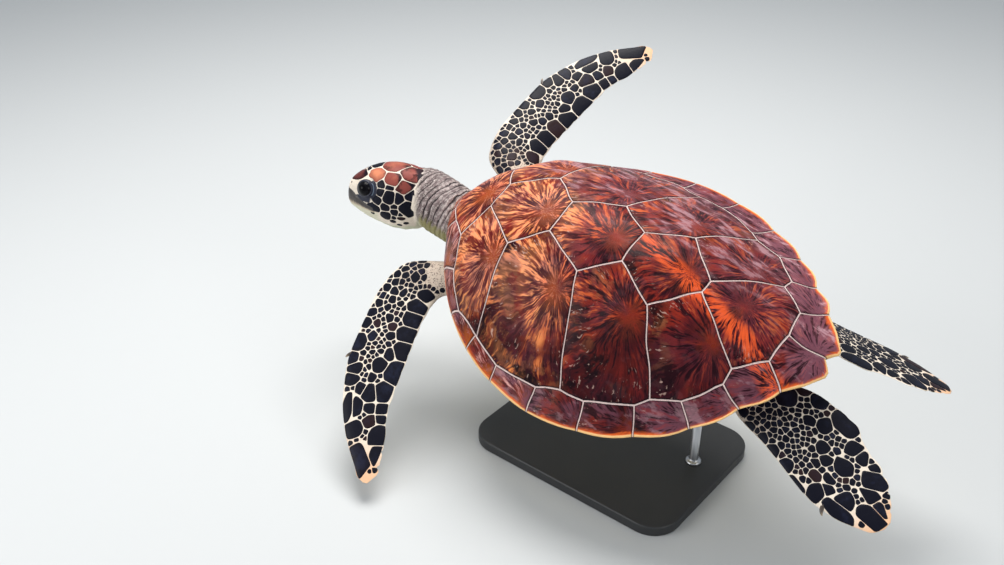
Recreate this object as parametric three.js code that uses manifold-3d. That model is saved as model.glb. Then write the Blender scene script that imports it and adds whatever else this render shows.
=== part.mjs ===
// A juvenile green turtle, life size, swimming with a gentle bank, on a plain display stand.
// Units are millimetres. The turtle is built in its own frame: x runs from the rear notch of
// the shell to its front edge, y to the animal's left, z up from the plane of the shell's rim.
// The last groups bank that frame and lift it over the stand, whose underside is the origin.
import * as THREE from 'three';
import { mergeVertices } from 'three/addons/utils/BufferGeometryUtils.js';
import Module from 'manifold-3d';

const wasm = await Module();
wasm.setup();

// ---- driving dimensions ----
const GAP = 0.35;              // clearance between neighbouring pieces
const INNER_GAP = 2.5;         // clearance under the shell plates, where nothing shows
const PLATE = 5;               // thickness of a shell plate
const RIM_EDGE = 3;            // thickness of the shell's outer edge
const BANK = 24.3;             // degrees, left side down
const LIFT = 250;              // height of the turtle's own origin over the floor
const BALANCE = [285, 12];     // the turtle's x and y that stand over the centre of the base

// The shell's outline and dome: place along the shell, half width, height of the rim, and how
// far the crown stands over the rim.
const SHELL = [
  [-10, 20, 24, 0.5], [0, 34, 25, 3], [24, 60, 26, 10], [44, 82, 21, 27], [60, 98, 16, 41],
  [104, 141, 1, 70], [162, 178, -8, 98], [227, 203, -9.5, 119], [299, 212, -6.5, 125],
  [368, 200, 2, 120], [422, 178, 10, 112], [472, 145, 16, 98], [508, 111, 20, 79],
  [529, 86, 25, 62], [545, 56, 35, 39], [556, 28, 45, 18], [562, 0, 54, 3],
];
// The dome's cross-section is (1 - t^CROWN_POWER)^flare; the rear flares more than the front.
const CROWN_POWER = 2.05;
const FLARE = [[0, 1.4], [160, 1.5], [280, 1.45], [340, 1.3], [380, 1.12], [420, 0.98],
  [460, 0.8], [500, 0.8], [562, 0.95]];
const NOTCH = [[-10, 13], [0, 0]];     // the outline's last two corners, at the rear notch

// Seams between the marginal plates, from the front: place along the shell of the outer end,
// then the inner end; last, where the seam with the large plates turns on its way to the next.
const MARGIN_SEAMS = [
  [557, 537, 20], [550, 519, 42, 489, 65], [525, 480.5, 104], [472, 450, 146], [422, 407, 164],
  [367, 364, 183], [301, 301.5, 184.5, 268.5, 173.5], [229, 235, 173], [162, 175, 149.5, 160, 136.5],
  [104, 123.5, 121], [60, 85.5, 84, 84, 66.5], [25, 49.5, 39],
];
const FRONT_INNER = [542, 0];          // where the nuchal meets the first vertebral
const REAR_INNER = [44, 0];            // where the rearmost plates meet the last vertebral
const SERRATION = 5;                   // how far the rear plates' points stand out

// Corners of the large plates on the left half: along, across.
const J1 = [459, 21.5];
const J2 = [404, 62];
const J3 = [357.5, 26.5];
const J4 = [297, 58];
const J5 = [251, 25];
const J6 = [198, 57];
const J7 = [150, 8.5];
const COSTAL_ENDS = [404.5, 268.5, 160];   // along, where the costal seams reach the margin
const COSTAL_FRONT = 489;
const COSTAL_REAR = 84;

// The belly: place along, half width at the rim's underside, height of its lowest surface.
const BELLY = [
  [34, 40, -14], [60, 66, -36], [110, 105, -56], [160, 140, -67], [205, 168, -73], [260, 186, -76],
  [320, 190, -77], [380, 176, -75], [425, 148, -71], [465, 116, -65], [500, 88, -58], [530, 66, -48],
];
const BELLY_POWER = 2.8;
// Half of the plastron's outline, from its front to its rear.
const PLASTRON = [[500, 0], [496, 40], [476, 74], [440, 92], [420, 140], [412, 215], [182, 215],
  [172, 140], [150, 84], [112, 72], [76, 50], [56, 18], [54, 0]];

// The head: length, place of the nape, and how it is turned (degrees).
const HEAD_LENGTH = 119;
const NAPE = [638, -11, 35];
const HEAD_YAW = 26;
const HEAD_PITCH = 11.5;
const HEAD_ROLL = 30;
// Head stations as parts of its length: place, half width, top, bottom.
const HEAD = [
  [-0.02, 0.25, 0.235, -0.44], [0.1, 0.305, 0.295, -0.48], [0.25, 0.345, 0.333, -0.5],
  [0.4, 0.35, 0.345, -0.485], [0.55, 0.325, 0.33, -0.44], [0.7, 0.275, 0.285, -0.39],
  [0.82, 0.215, 0.22, -0.335], [0.92, 0.155, 0.15, -0.285], [0.975, 0.11, 0.09, -0.25],
  [1, 0.06, 0.03, -0.21],
];
const EYE = [0.72, 0.205, 0.045];      // eye's centre, as parts of the head's length
const EYE_RADIUS = 11.5;
const MOUTH = [[1.1, -0.185], [0.84, -0.19], [0.6, -0.225], [0.3, -0.3]];
const BEAK_TOP = [[0.6, -0.15], [0.8, -0.1], [0.93, -0.04], [1.1, -0.02]];

// The neck: centre line points and radii, across and up.
const NECK = [
  [[496, 0, -8], 80, 42], [[530, 0, 2], 52, 42], [[562, -2, 13], 42, 42], [[602, -6, 21], 43, 43],
  [[636, -9, 28], 42, 44], [[656, -3, 31], 36, 40],
];

// Flippers. A row holds one cross-section: the leading edge, then the trailing edge, each as
// distance along the limb and distance towards its leading side; the last number is the
// half thickness. A pose holds the root, then the sweep, lift and twist in degrees.
const FRONT_LIMB = [
  [[-36, -73], [17, -73], 24], [[-24, 6], [25, -11], 23], [[-7, 63], [45, 1], 17],
  [[56, 86], [84, 6], 10.5], [[134, 88], [143, 6], 6.5], [[196, 76], [202, 5], 5],
  [[252, 50], [249, -7], 4], [[291, 20], [288, -13], 2.6], [[302, 12], [300, -9], 1.9],
  [[307, 2], [306.5, -4], 1.2],
];
const HIND_LIMB = [
  [[-44, 17], [-34, -33], 15], [[-6, 30], [-6, -47], 13], [[39, 28], [33, -66], 9],
  [[87, 30], [84, -73], 6], [[118, 31], [112, -63], 4.8], [[151, 24], [140, -60], 3.8],
  [[179, 10], [162, -52], 3], [[193, 0], [182, -38], 2.2], [[198, -13], [196, -24], 1.2],
];
const LIMB_ARCH = 14;                  // how far a front flipper's tip droops from its plane
const LIMBS = {
  flipper_front_left: {
    rows: FRONT_LIMB, side: 1, root: [550, 82, -18], turn: [14.4, -8, 12.6], size: 1.02,
  },
  flipper_front_right: {
    rows: FRONT_LIMB, side: -1, root: [543, -115, -6], turn: [9, 6.5, 24], size: 1,
  },
  flipper_hind_left: {
    rows: HIND_LIMB, side: 1, root: [53, 62, -31], turn: [22, -11.5, -7.4], size: 0.975,
  },
  flipper_hind_right: {
    rows: HIND_LIMB, side: -1, root: [72, -73, -21], turn: [9, -22, -41], size: 1.005,
  },
};
const CLAW_LENGTH = 9;
const CLAW_AT = { front: 4.15, hind: 4.6 };   // place along the rows

const TAIL = [
  [[96, 0, -24], 16, 13], [[64, 0, -20], 12, 9], [[42, 0, -14], 8, 6], [[28, 0, -9], 3, 2.5],
];

// The stand.
const BASE = { length: 330, width: 250, height: 16, corner: 40, edge: 2.5 };
const ROD_RADIUS = 6;
const ROD_AT = [[405, 12], [165, 12]];  // the turtle's x and y where the rods reach its belly

// ---- small helpers ----
const clamp = (v, lo, hi) => Math.min(hi, Math.max(lo, v));
const lerp = (a, b, t) => a + (b - a) * t;
const mix = (p, q, t) => p.map((v, i) => lerp(v, q[i], t));
const rad = (deg) => deg * Math.PI / 180;
const range = (n) => Array.from({ length: n }, (_, i) => i);

// A smooth curve through one column of a table, with no overshoot between its rows.
function smooth(table, column) {
  const n = table.length;
  const xs = table.map((row) => row[0]);
  const ys = table.map((row) => row[column]);
  const slope = range(n - 1).map((i) => (ys[i + 1] - ys[i]) / (xs[i + 1] - xs[i]));
  const m = [slope[0]];
  for (let i = 1; i < n - 1; i += 1) {
    const product = slope[i - 1] * slope[i];
    m.push(product <= 0 ? 0 : 2 * product / (slope[i - 1] + slope[i]));
  }
  m.push(slope[n - 2]);
  return (x) => {
    const v = clamp(x, xs[0], xs[n - 1]);
    let i = 0;
    while (i < n - 2 && v > xs[i + 1]) i += 1;
    const h = xs[i + 1] - xs[i];
    const t = (v - xs[i]) / h;
    const start = (1 + 2 * t) * (1 - t) ** 2;
    const end = t * t * (3 - 2 * t);
    const leave = t * (1 - t) ** 2 * h;
    const arrive = -t * t * (1 - t) * h;
    return start * ys[i] + end * ys[i + 1] + leave * m[i] + arrive * m[i + 1];
  };
}

// A closed body from rings of points that follow each other, each ring with as many points.
function loft(rings) {
  const n = rings[0].length;
  const points = rings.flat();
  const index = [];
  for (let i = 0; i < rings.length - 1; i += 1) {
    for (let j = 0; j < n; j += 1) {
      const a = i * n + j;
      const b = i * n + (j + 1) % n;
      index.push(a, b, a + n, b, b + n, a + n);
    }
  }
  for (const [ring, turned] of [[0, true], [rings.length - 1, false]]) {
    const centre = rings[ring].reduce((s, p) => s.map((v, k) => v + p[k] / n), [0, 0, 0]);
    points.push(centre);
    for (let j = 0; j < n; j += 1) {
      const a = ring * n + j;
      const b = ring * n + (j + 1) % n;
      index.push(...(turned ? [b, a, points.length - 1] : [a, b, points.length - 1]));
    }
  }
  const geometry = new THREE.BufferGeometry();
  geometry.setAttribute('position', new THREE.Float32BufferAttribute(points.flat(), 3));
  geometry.setIndex(index);
  return facingOut(geometry);
}

function signedVolume(geometry) {
  const p = geometry.getAttribute('position');
  const index = geometry.getIndex();
  const a = new THREE.Vector3();
  const b = new THREE.Vector3();
  const c = new THREE.Vector3();
  let sum = 0;
  for (let i = 0; i < index.count; i += 3) {
    a.fromBufferAttribute(p, index.getX(i));
    b.fromBufferAttribute(p, index.getX(i + 1));
    c.fromBufferAttribute(p, index.getX(i + 2));
    sum += a.dot(b.cross(c)) / 6;
  }
  return sum;
}

function facingOut(geometry) {
  if (signedVolume(geometry) < 0) {
    const index = geometry.getIndex();
    for (let i = 0; i < index.count; i += 3) {
      const keep = index.getX(i);
      index.setX(i, index.getX(i + 1));
      index.setX(i + 1, keep);
    }
  }
  return geometry;
}

// three.js geometry to a manifold solid, and back.
function solid(geometry) {
  let bare = geometry.clone();
  bare.deleteAttribute('normal');
  bare.deleteAttribute('uv');
  bare = mergeVertices(bare, 1e-3);
  const mesh = new wasm.Mesh({
    numProp: 3,
    vertProperties: new Float32Array(bare.getAttribute('position').array),
    triVerts: new Uint32Array(bare.getIndex().array),
  });
  mesh.merge();
  return new wasm.Manifold(mesh);
}

function geometryOf(body) {
  const mesh = body.getMesh();
  const points = [];
  for (let i = 0; i < mesh.vertProperties.length; i += mesh.numProp) {
    points.push(...mesh.vertProperties.slice(i, i + 3));
  }
  const geometry = new THREE.BufferGeometry();
  geometry.setAttribute('position', new THREE.Float32BufferAttribute(points, 3));
  geometry.setIndex(Array.from(mesh.triVerts));
  return geometry;
}

// The largest of a solid's separate pieces, so that no loose splinter is kept.
function mainPiece(body) {
  const pieces = body.decompose();
  return pieces.reduce((best, piece) => (piece.volume() > best.volume() ? piece : best));
}

// A prism over a flat outline, between two heights.
function prism(outline, bottom, top) {
  const shape = new THREE.Shape(outline.map(([x, y]) => new THREE.Vector2(x, y)));
  const geometry = new THREE.ExtrudeGeometry(shape, { depth: top - bottom, bevelEnabled: false });
  geometry.translate(0, 0, bottom);
  return geometry;
}

// An outline moved inwards by a distance.
function inset(outline, distance) {
  const n = outline.length;
  const area = outline.reduce((s, p, i) => {
    const q = outline[(i + 1) % n];
    return s + (p[0] * q[1] - q[0] * p[1]) / 2;
  }, 0);
  const sign = Math.sign(area);
  const normals = outline.map((p, i) => {
    const q = outline[(i + 1) % n];
    const length = Math.hypot(q[0] - p[0], q[1] - p[1]);
    return [-sign * (q[1] - p[1]) / length, sign * (q[0] - p[0]) / length];
  });
  return outline.map((p, i) => {
    const a = normals[(i + n - 1) % n];
    const b = normals[i];
    const scale = distance / Math.max(0.35, 1 + a[0] * b[0] + a[1] * b[1]);
    return [p[0] + (a[0] + b[0]) * scale, p[1] + (a[1] + b[1]) * scale];
  });
}

const mirrored = (outline) => outline.map(([x, y, ...rest]) => [x, -y, ...rest]);

// ---- the shell's surface ----
const halfWidth = smooth(SHELL, 1);
const rimHeight = smooth(SHELL, 2);
const crownHeight = smooth(SHELL, 3);
const flare = smooth(FLARE, 1);

function shellTop(x, y) {
  const t = clamp(Math.abs(y) / Math.max(halfWidth(x), 1), 0, 1);
  return rimHeight(x) + crownHeight(x) * (1 - t ** CROWN_POWER) ** flare(x);
}

// A point of the outline on the left, moved outwards by a distance.
function outlinePoint(x, out) {
  const reach = 3;
  const slope = (halfWidth(x + reach) - halfWidth(x - reach)) / (2 * reach);
  const length = Math.hypot(1, slope);
  return [x - slope / length * out, halfWidth(x) + out / length];
}

// Stations of a marginal plate on the left: pairs of outer and inner points.
const MARGIN_STEPS = 4;
function marginStations(k) {
  const [outerX, innerX, innerY, ...corner] = MARGIN_SEAMS[k];
  const inner = [innerX, innerY];
  if (k === MARGIN_SEAMS.length - 1) {
    const tip = outlinePoint(SHELL[0][0], 0);
    const outer = [outlinePoint(outerX, 0), outlinePoint(lerp(outerX, tip[0], 0.55), 1), tip, ...NOTCH];
    return outer.map((p, i) => [p, mix(inner, REAR_INNER, i / (outer.length - 1))]);
  }
  const next = MARGIN_SEAMS[k + 1];
  const end = next.slice(1, 3);
  const middle = corner.length ? corner : mix(inner, end, 0.5);
  const strength = SERRATION * clamp((k - 5) / 4, 0, 1);
  return range(MARGIN_STEPS + 1).map((i) => {
    const t = i / MARGIN_STEPS;
    const bulge = strength * Math.sin(Math.PI * t ** 1.5);
    const seam = t < 0.5 ? mix(inner, middle, 2 * t) : mix(middle, end, 2 * t - 1);
    return [outlinePoint(lerp(outerX, next[0], t), bulge), seam];
  });
}

function nuchalStations() {
  const [outerX, innerX, innerY] = MARGIN_SEAMS[0];
  const tip = SHELL[SHELL.length - 1][0];
  const half = [
    [outlinePoint(outerX, 0), [innerX, innerY]],
    [outlinePoint(lerp(outerX, tip, 0.7), 0), mix([innerX, innerY], FRONT_INNER, 0.5)],
  ];
  return [...half, [[tip, 0], FRONT_INNER], ...half.map((pair) => mirrored(pair)).reverse()];
}

// The inner seam on the left, from the middle of the front to the middle of the rear.
const INNER_SEAM = [
  FRONT_INNER,
  ...range(MARGIN_SEAMS.length).flatMap((k) => {
    const [, innerX, innerY, ...corner] = MARGIN_SEAMS[k];
    return corner.length ? [[innerX, innerY], corner] : [[innerX, innerY]];
  }),
  REAR_INNER,
];

function onInnerSeam(place) {
  const x = clamp(place, REAR_INNER[0], FRONT_INNER[0]);
  let i = 0;
  while (i < INNER_SEAM.length - 2 && INNER_SEAM[i + 1][0] > x) i += 1;
  const t = (INNER_SEAM[i][0] - x) / (INNER_SEAM[i][0] - INNER_SEAM[i + 1][0]);
  return mix(INNER_SEAM[i], INNER_SEAM[i + 1], t);
}

// The inner seam between two places along the shell, front to rear, ends included.
function innerSeam(fromX, toX) {
  const near = 1;
  const between = INNER_SEAM.filter((p) => p[0] < fromX - near && p[0] > toX + near);
  return [onInnerSeam(fromX), ...between, onInnerSeam(toX)];
}

// ---- shell plates ----
// One marginal plate: a wedge from its outer edge to the inner seam.
function wedge(stations) {
  const outline = [...stations.map((pair) => pair[0]), ...stations.map((pair) => pair[1]).reverse()];
  const n = stations.length;
  const tight = inset(outline, GAP / 2);
  const rings = range(n).map((i) => {
    const outer = tight[i];
    const inner = tight[2 * n - 1 - i];
    const floor = rimHeight(outer[0]) - RIM_EDGE;
    const at = (t) => {
      const [x, y] = mix(outer, inner, t);
      return [x, y, Math.max(shellTop(x, y), floor + RIM_EDGE)];
    };
    return [at(0), at(0.35), at(0.7), at(1), [...inner, floor], [...outer, floor]];
  });
  return loft(rings);
}

// The dome from which the large plates are cut: a slab under the shell's top.
function slab(thickness) {
  const along = 18;
  const across = 12;
  const inside = 3;
  const front = FRONT_INNER[0];
  const rear = REAR_INNER[0];
  const rings = range(along + 1).map((i) => {
    const x = lerp(rear, front, i / along);
    const reach = halfWidth(x) - inside;
    const top = range(across + 1).map((j) => {
      const y = lerp(-reach, reach, j / across);
      return [x, y, shellTop(x, y)];
    });
    const under = top.map(([px, py, pz]) => [px, py, pz - thickness]).reverse();
    return [...top, ...under];
  });
  return solid(loft(rings));
}

function largePlates() {
  const nuchalSeam = innerSeam(FRONT_INNER[0], COSTAL_FRONT);
  const rearSeam = innerSeam(COSTAL_REAR, REAR_INNER[0]);
  const vertebral = [
    [...nuchalSeam, J1], [J1, J2, J3], [J3, J4, J5], [J5, J6, J7], [J7, ...rearSeam],
  ];
  const costal = [
    [J1, J2, ...innerSeam(COSTAL_FRONT, COSTAL_ENDS[0]).reverse()],
    [J2, J3, J4, ...innerSeam(COSTAL_ENDS[0], COSTAL_ENDS[1]).reverse()],
    [J4, J5, J6, ...innerSeam(COSTAL_ENDS[1], COSTAL_ENDS[2]).reverse()],
    [J6, J7, ...innerSeam(COSTAL_ENDS[2], COSTAL_REAR).reverse()],
  ];
  const dome = slab(PLATE);
  const plates = {};
  const cut = (name, outline) => {
    const block = solid(prism(inset(outline, GAP / 2), -60, 180));
    plates[name] = geometryOf(mainPiece(dome.intersect(block)));
  };
  vertebral.forEach((half, i) => {
    const onMiddle = half.filter((p) => Math.abs(p[1]) < 0.5);
    const sides = half.filter((p) => Math.abs(p[1]) >= 0.5);
    const front = onMiddle.filter((p) => p[0] > 300);
    const rear = onMiddle.filter((p) => p[0] <= 300);
    cut(`vertebral_${i + 1}`, [...front, ...sides, ...rear, ...mirrored(sides).reverse()]);
  });
  costal.forEach((outline, i) => {
    cut(`costal_left_${i + 1}`, outline);
    cut(`costal_right_${i + 1}`, mirrored(outline));
  });
  return plates;
}

// ---- trunk and belly ----
const bellyWidth = smooth(BELLY, 1);
const bellyHeight = smooth(BELLY, 2);

// A point of the belly's surface: q is 0 at its middle and 1 at the rim, off is how far inside.
function bellyPoint(x, q, side, off, top) {
  const angle = q * Math.PI / 2;
  const width = bellyWidth(x) - off;
  const depth = top - bellyHeight(x) - off;
  const y = width * Math.sin(angle) ** (2 / BELLY_POWER);
  const z = top - depth * Math.cos(angle) ** (2 / BELLY_POWER);
  return [x, side * y, z];
}

const BELLY_STEPS = 6;
function bellyArc(x, off, top) {
  const left = range(BELLY_STEPS).map((i) => bellyPoint(x, 1 - i / BELLY_STEPS, 1, off, top));
  const right = range(BELLY_STEPS + 1).map((i) => bellyPoint(x, i / BELLY_STEPS, -1, off, top));
  return [...left, ...right];
}

const TRUNK_FROM = 52;
const TRUNK_TO = 508;
function trunkBody(grow) {
  const steps = 15;
  const across = 10;
  const stride = (TRUNK_TO - TRUNK_FROM) / steps;
  const off = PLATE + 2 * INNER_GAP - grow;
  return loft(range(steps + 1).map((i) => {
    const x = lerp(TRUNK_FROM, TRUNK_TO, i / steps);
    const moved = lerp(x - grow, x + grow, i / steps);
    const seams = [-1, -0.5, 0, 0.5, 1].map((way) => onInnerSeam(x + way * stride)[1]);
    const reach = Math.max(8, Math.min(...seams) - GAP - 2 + grow);
    const floor = rimHeight(x) - RIM_EDGE - 2 * GAP + grow;
    const dome = range(across + 1).map((j) => {
      const y = lerp(-reach, reach, j / across);
      const z = shellTop(x, y * reach / (reach + 2)) - PLATE - INNER_GAP - 1 + grow;
      return [x, y, Math.max(z, floor + 1)];
    });
    const edge = Math.min(floor, dome[across][2] - 1);
    const ring = [...dome, [x, reach, edge], ...bellyArc(x, off, edge), [x, -reach, edge]];
    return ring.map(([, y, z]) => [moved, y, z]);
  }));
}

// The belly's outer skin as a solid, to cut the plastron from and to end the rods on.
function bellyBody(off, raise) {
  const steps = 10;
  const from = BELLY[0][0];
  const to = BELLY[BELLY.length - 1][0];
  return loft(range(steps + 1).map((i) => {
    const x = lerp(from, to, i / steps);
    const floor = rimHeight(x) - RIM_EDGE - 2 * GAP;
    const reach = bellyWidth(x) - off;
    const lid = [-0.5, 0.5].map((part) => [x, part * reach, floor + raise]);
    return [...bellyArc(x, off, floor), ...lid];
  }));
}

// All that lies over the underside of the shell's rim, to keep the flesh clear of the plates.
function shellCover() {
  const steps = 30;
  const clear = SERRATION + GAP;
  const height = 220;
  const from = SHELL[0][0] - clear;
  const to = SHELL[SHELL.length - 1][0] + GAP;
  return loft(range(steps + 1).map((i) => {
    const x = lerp(from, to, (1 - Math.cos(Math.PI * i / steps)) / 2);
    const reach = halfWidth(x) + lerp(clear, GAP, i / steps);
    const floor = rimHeight(x) - RIM_EDGE - 2 * GAP;
    return [[x, reach, floor], [x, reach, height], [x, -reach, height], [x, -reach, floor]];
  }));
}

function plastron() {
  const outline = [...PLASTRON, ...mirrored(PLASTRON).slice(1, -1).reverse()];
  const skin = solid(bellyBody(0, 0)).subtract(solid(bellyBody(PLATE, 20)));
  return geometryOf(mainPiece(skin.intersect(solid(prism(outline, -120, 60)))));
}

// ---- head and neck ----
const headMatrix = new THREE.Matrix4()
  .makeRotationZ(rad(HEAD_YAW))
  .multiply(new THREE.Matrix4().makeRotationY(rad(-HEAD_PITCH)))
  .multiply(new THREE.Matrix4().makeRotationX(rad(HEAD_ROLL)))
  .scale(new THREE.Vector3(HEAD_LENGTH, HEAD_LENGTH, HEAD_LENGTH))
  .setPosition(...NAPE);

// An upright oval ring round the head's or the neck's middle line.
function oval(count, halfAcross, up, down, roundness) {
  return range(count).map((i) => {
    const angle = 2 * Math.PI * i / count;
    const c = Math.cos(angle);
    const s = Math.sin(angle);
    const middle = (up + down) / 2;
    return [halfAcross * Math.sign(c) * Math.abs(c) ** roundness,
      middle + (up - down) / 2 * Math.sign(s) * Math.abs(s) ** roundness];
  });
}

function skull(grow) {
  const half = smooth(HEAD, 1);
  const top = smooth(HEAD, 2);
  const bottom = smooth(HEAD, 3);
  const g = grow / HEAD_LENGTH;
  const steps = 11;
  const rings = range(steps + 1).map((i) => {
    const x = lerp(-0.02, 1, Math.sin(i / steps * Math.PI / 2));
    const reach = i === steps ? x + g : x - (i === 0 ? g : 0);
    return oval(16, half(x) + g, top(x) + g, bottom(x) - g, 0.9).map(([y, z]) => [reach, y, z]);
  });
  return loft(rings).applyMatrix4(headMatrix);
}

// A block over an outline in the head's side view.
function sideBlock(outline, grow) {
  const block = prism(inset(outline, -grow / HEAD_LENGTH), -0.6, 0.6);
  return block.rotateX(Math.PI / 2).applyMatrix4(headMatrix);
}

function headParts() {
  const jawOutline = [...MOUTH, [0.3, -0.7], [1.1, -0.7]].reverse();
  const beakOutline = [...MOUTH.slice(0, 3), ...BEAK_TOP];
  const centre = new THREE.Vector3(...EYE).applyMatrix4(headMatrix);
  const whole = solid(skull(0));
  const eyes = {};
  let head = whole.subtract(solid(sideBlock(jawOutline, 0))).subtract(solid(sideBlock(beakOutline, 0)));
  for (const [name, side] of [['eye_left', 1], ['eye_right', -1]]) {
    centre.set(EYE[0], side * EYE[1], EYE[2]).applyMatrix4(headMatrix);
    const ball = new THREE.SphereGeometry(EYE_RADIUS, 12, 8).translate(...centre);
    const socket = new THREE.SphereGeometry(EYE_RADIUS + 2 * GAP, 12, 8).translate(...centre);
    head = head.subtract(solid(socket));
    eyes[name] = ball;
  }
  return {
    head: geometryOf(mainPiece(head)),
    lower_jaw: geometryOf(mainPiece(whole.intersect(solid(sideBlock(jawOutline, -GAP))))),
    beak: geometryOf(mainPiece(whole.intersect(solid(sideBlock(beakOutline, -GAP))))),
    ...eyes,
  };
}

// A tube of oval rings along a table of centres and radii.
function tube(table, steps, count, grow) {
  const rows = table.map(([[x, y, z], across, up], i) => [i, x, y, z, across, up]);
  const column = range(5).map((c) => smooth(rows, c + 1));
  const last = rows.length - 1;
  return loft(range(steps + 1).map((i) => {
    const t = i / steps * last;
    const centre = new THREE.Vector3(column[0](t), column[1](t), column[2](t));
    const ahead = new THREE.Vector3(...range(3).map((c) => column[c](t + 0.02)));
    const behind = new THREE.Vector3(...range(3).map((c) => column[c](t - 0.02)));
    const way = ahead.sub(behind).normalize();
    const across = new THREE.Vector3(0, 0, 1).cross(way).normalize();
    const up = way.clone().cross(across);
    return oval(count, column[3](t) + grow, column[4](t) + grow, -column[4](t) - grow, 1).map(([a, b]) => {
      const p = centre.clone().addScaledVector(across, a).addScaledVector(up, b);
      return [p.x, p.y, p.z];
    });
  }));
}

// ---- flippers ----
// The limb's own axes: along, towards its leading edge, and up out of its plane.
function limbAxes({ rows, side, turn }) {
  const [sweep, lift, twist] = turn.map(rad);
  const hind = rows === HIND_LIMB;
  const back = hind ? Math.cos(sweep) : Math.sin(sweep);
  const out = hind ? Math.sin(sweep) : Math.cos(sweep);
  const level = Math.cos(lift);
  const along = new THREE.Vector3(-back * level, side * out * level, Math.sin(lift));
  const lead = hind ? new THREE.Vector3(0, side, 0) : new THREE.Vector3(1, 0, 0);
  lead.addScaledVector(along, -lead.dot(along)).normalize();
  const up = new THREE.Vector3().crossVectors(along, lead);
  if (up.z < 0) up.negate();
  const turned = lead.clone().multiplyScalar(Math.cos(twist)).addScaledVector(up, Math.sin(twist));
  const normal = up.clone().multiplyScalar(Math.cos(twist)).addScaledVector(lead, -Math.sin(twist));
  return { along, lead: turned, up: normal };
}

function limbPoint(limb, axes, s, c, n) {
  const arch = limb.rows === FRONT_LIMB ? LIMB_ARCH * Math.max(0, s / 300) ** 2 : 0;
  const p = new THREE.Vector3(...limb.root)
    .addScaledVector(axes.along, s * limb.size)
    .addScaledVector(axes.lead, c * limb.size)
    .addScaledVector(axes.up, n - arch);
  return [p.x, p.y, p.z];
}

function limbRow(limb) {
  const rows = limb.rows.map(([lead, trail, thick], i) => [i, ...lead, ...trail, thick]);
  return range(5).map((c) => smooth(rows, c + 1));
}

function flipper(limb) {
  const column = limbRow(limb);
  const axes = limbAxes(limb);
  const last = limb.rows.length - 1;
  const steps = 14;
  const count = 12;
  return loft(range(steps + 1).map((i) => {
    const t = i / steps * last;
    const lead = [column[0](t), column[1](t)];
    const trail = [column[2](t), column[3](t)];
    return range(count).map((j) => {
      const angle = 2 * Math.PI * j / count;
      const w = (1 + Math.cos(angle)) / 2;
      const [s, c] = mix(trail, lead, w);
      const thick = column[4](t) * (0.55 + 0.45 * w);
      return limbPoint(limb, axes, s, c, thick * Math.sin(angle));
    });
  }));
}

// A short curved claw on the leading edge.
function claw(limb) {
  const axes = limbAxes(limb);
  const column = limbRow(limb);
  const t = limb.rows === FRONT_LIMB ? CLAW_AT.front : CLAW_AT.hind;
  const s = column[0](t);
  const c = column[1](t);
  const steps = 4;
  return loft(range(steps + 1).map((i) => {
    const u = i / steps;
    const radius = lerp(2.6, 0.35, u);
    const at = [s + u * CLAW_LENGTH * 0.75, c - 1.5 + Math.sin(u * 1.5) * CLAW_LENGTH * 0.6];
    return range(6).map((j) => {
      const angle = 2 * Math.PI * j / 6;
      return limbPoint(limb, axes, at[0] - radius * Math.cos(angle) * 0.6, at[1] + radius * Math.cos(angle),
        radius * Math.sin(angle));
    });
  }));
}

// ---- the stand ----
const turtle = new THREE.Group();
turtle.position.set(-BALANCE[0], -BALANCE[1], 0);
const bank = new THREE.Group();
bank.rotation.x = rad(-BANK);
bank.add(turtle);
const heading = new THREE.Group();
heading.rotation.z = rad(-90);
heading.position.z = LIFT;
heading.add(bank);
const display = new THREE.Group();
display.add(heading);
display.updateMatrixWorld(true);

function standBase() {
  const { length, width, height, corner, edge } = BASE;
  const w = width / 2 - edge;
  const l = length / 2 - edge;
  const r = corner - edge;
  const shape = new THREE.Shape();
  shape.moveTo(-w + r, -l);
  shape.lineTo(w - r, -l);
  shape.absarc(w - r, -l + r, r, -Math.PI / 2, 0);
  shape.lineTo(w, l - r);
  shape.absarc(w - r, l - r, r, 0, Math.PI / 2);
  shape.lineTo(-w + r, l);
  shape.absarc(-w + r, l - r, r, Math.PI / 2, Math.PI);
  shape.lineTo(-w, -l + r);
  shape.absarc(-w + r, -l + r, r, Math.PI, 1.5 * Math.PI);
  const options = {
    depth: height - 2 * edge, bevelThickness: edge, bevelSize: edge, bevelSegments: 1,
    curveSegments: 4,
  };
  return new THREE.ExtrudeGeometry(shape, options).translate(0, 0, edge);
}

function standRod([x, y]) {
  const floor = rimHeight(x) - RIM_EDGE;
  const foot = new THREE.Vector3(x, y, bellyPoint(x, 0, 1, 0, floor)[2]).applyMatrix4(turtle.matrixWorld);
  const top = foot.z + 9;
  const bottom = BASE.height + GAP;
  const rod = new THREE.CylinderGeometry(ROD_RADIUS, ROD_RADIUS, top - bottom, 16);
  rod.rotateX(Math.PI / 2).translate(foot.x, foot.y, (top + bottom) / 2);
  const belly = bellyBody(-GAP, 20).applyMatrix4(turtle.matrixWorld);
  return geometryOf(mainPiece(solid(rod).subtract(solid(belly))));
}

// ---- colours, and the parts put together ----
const COLOURS = {
  plate: [0x8c3a1e, 0.35], margin: [0x6a2a20, 0.38], plastron: [0xdccb9a, 0.5], skin: [0x9c8f7a, 0.7],
  limb: [0x2c2a33, 0.55], head: [0x6b4634, 0.5], beak: [0x3a3a3c, 0.4], eye: [0x0c0f14, 0.08],
  claw: [0x3b3128, 0.4], base: [0x2b2d30, 0.45], rod: [0xb9bcc0, 0.25],
};

function add(group, name, geometry, look) {
  const [colour, roughness] = COLOURS[look];
  const metalness = look === 'rod' ? 1 : 0;
  const material = new THREE.MeshStandardMaterial({ color: colour, roughness, metalness });
  const mesh = new THREE.Mesh(geometry, material);
  mesh.name = name;
  group.add(mesh);
}

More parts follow.
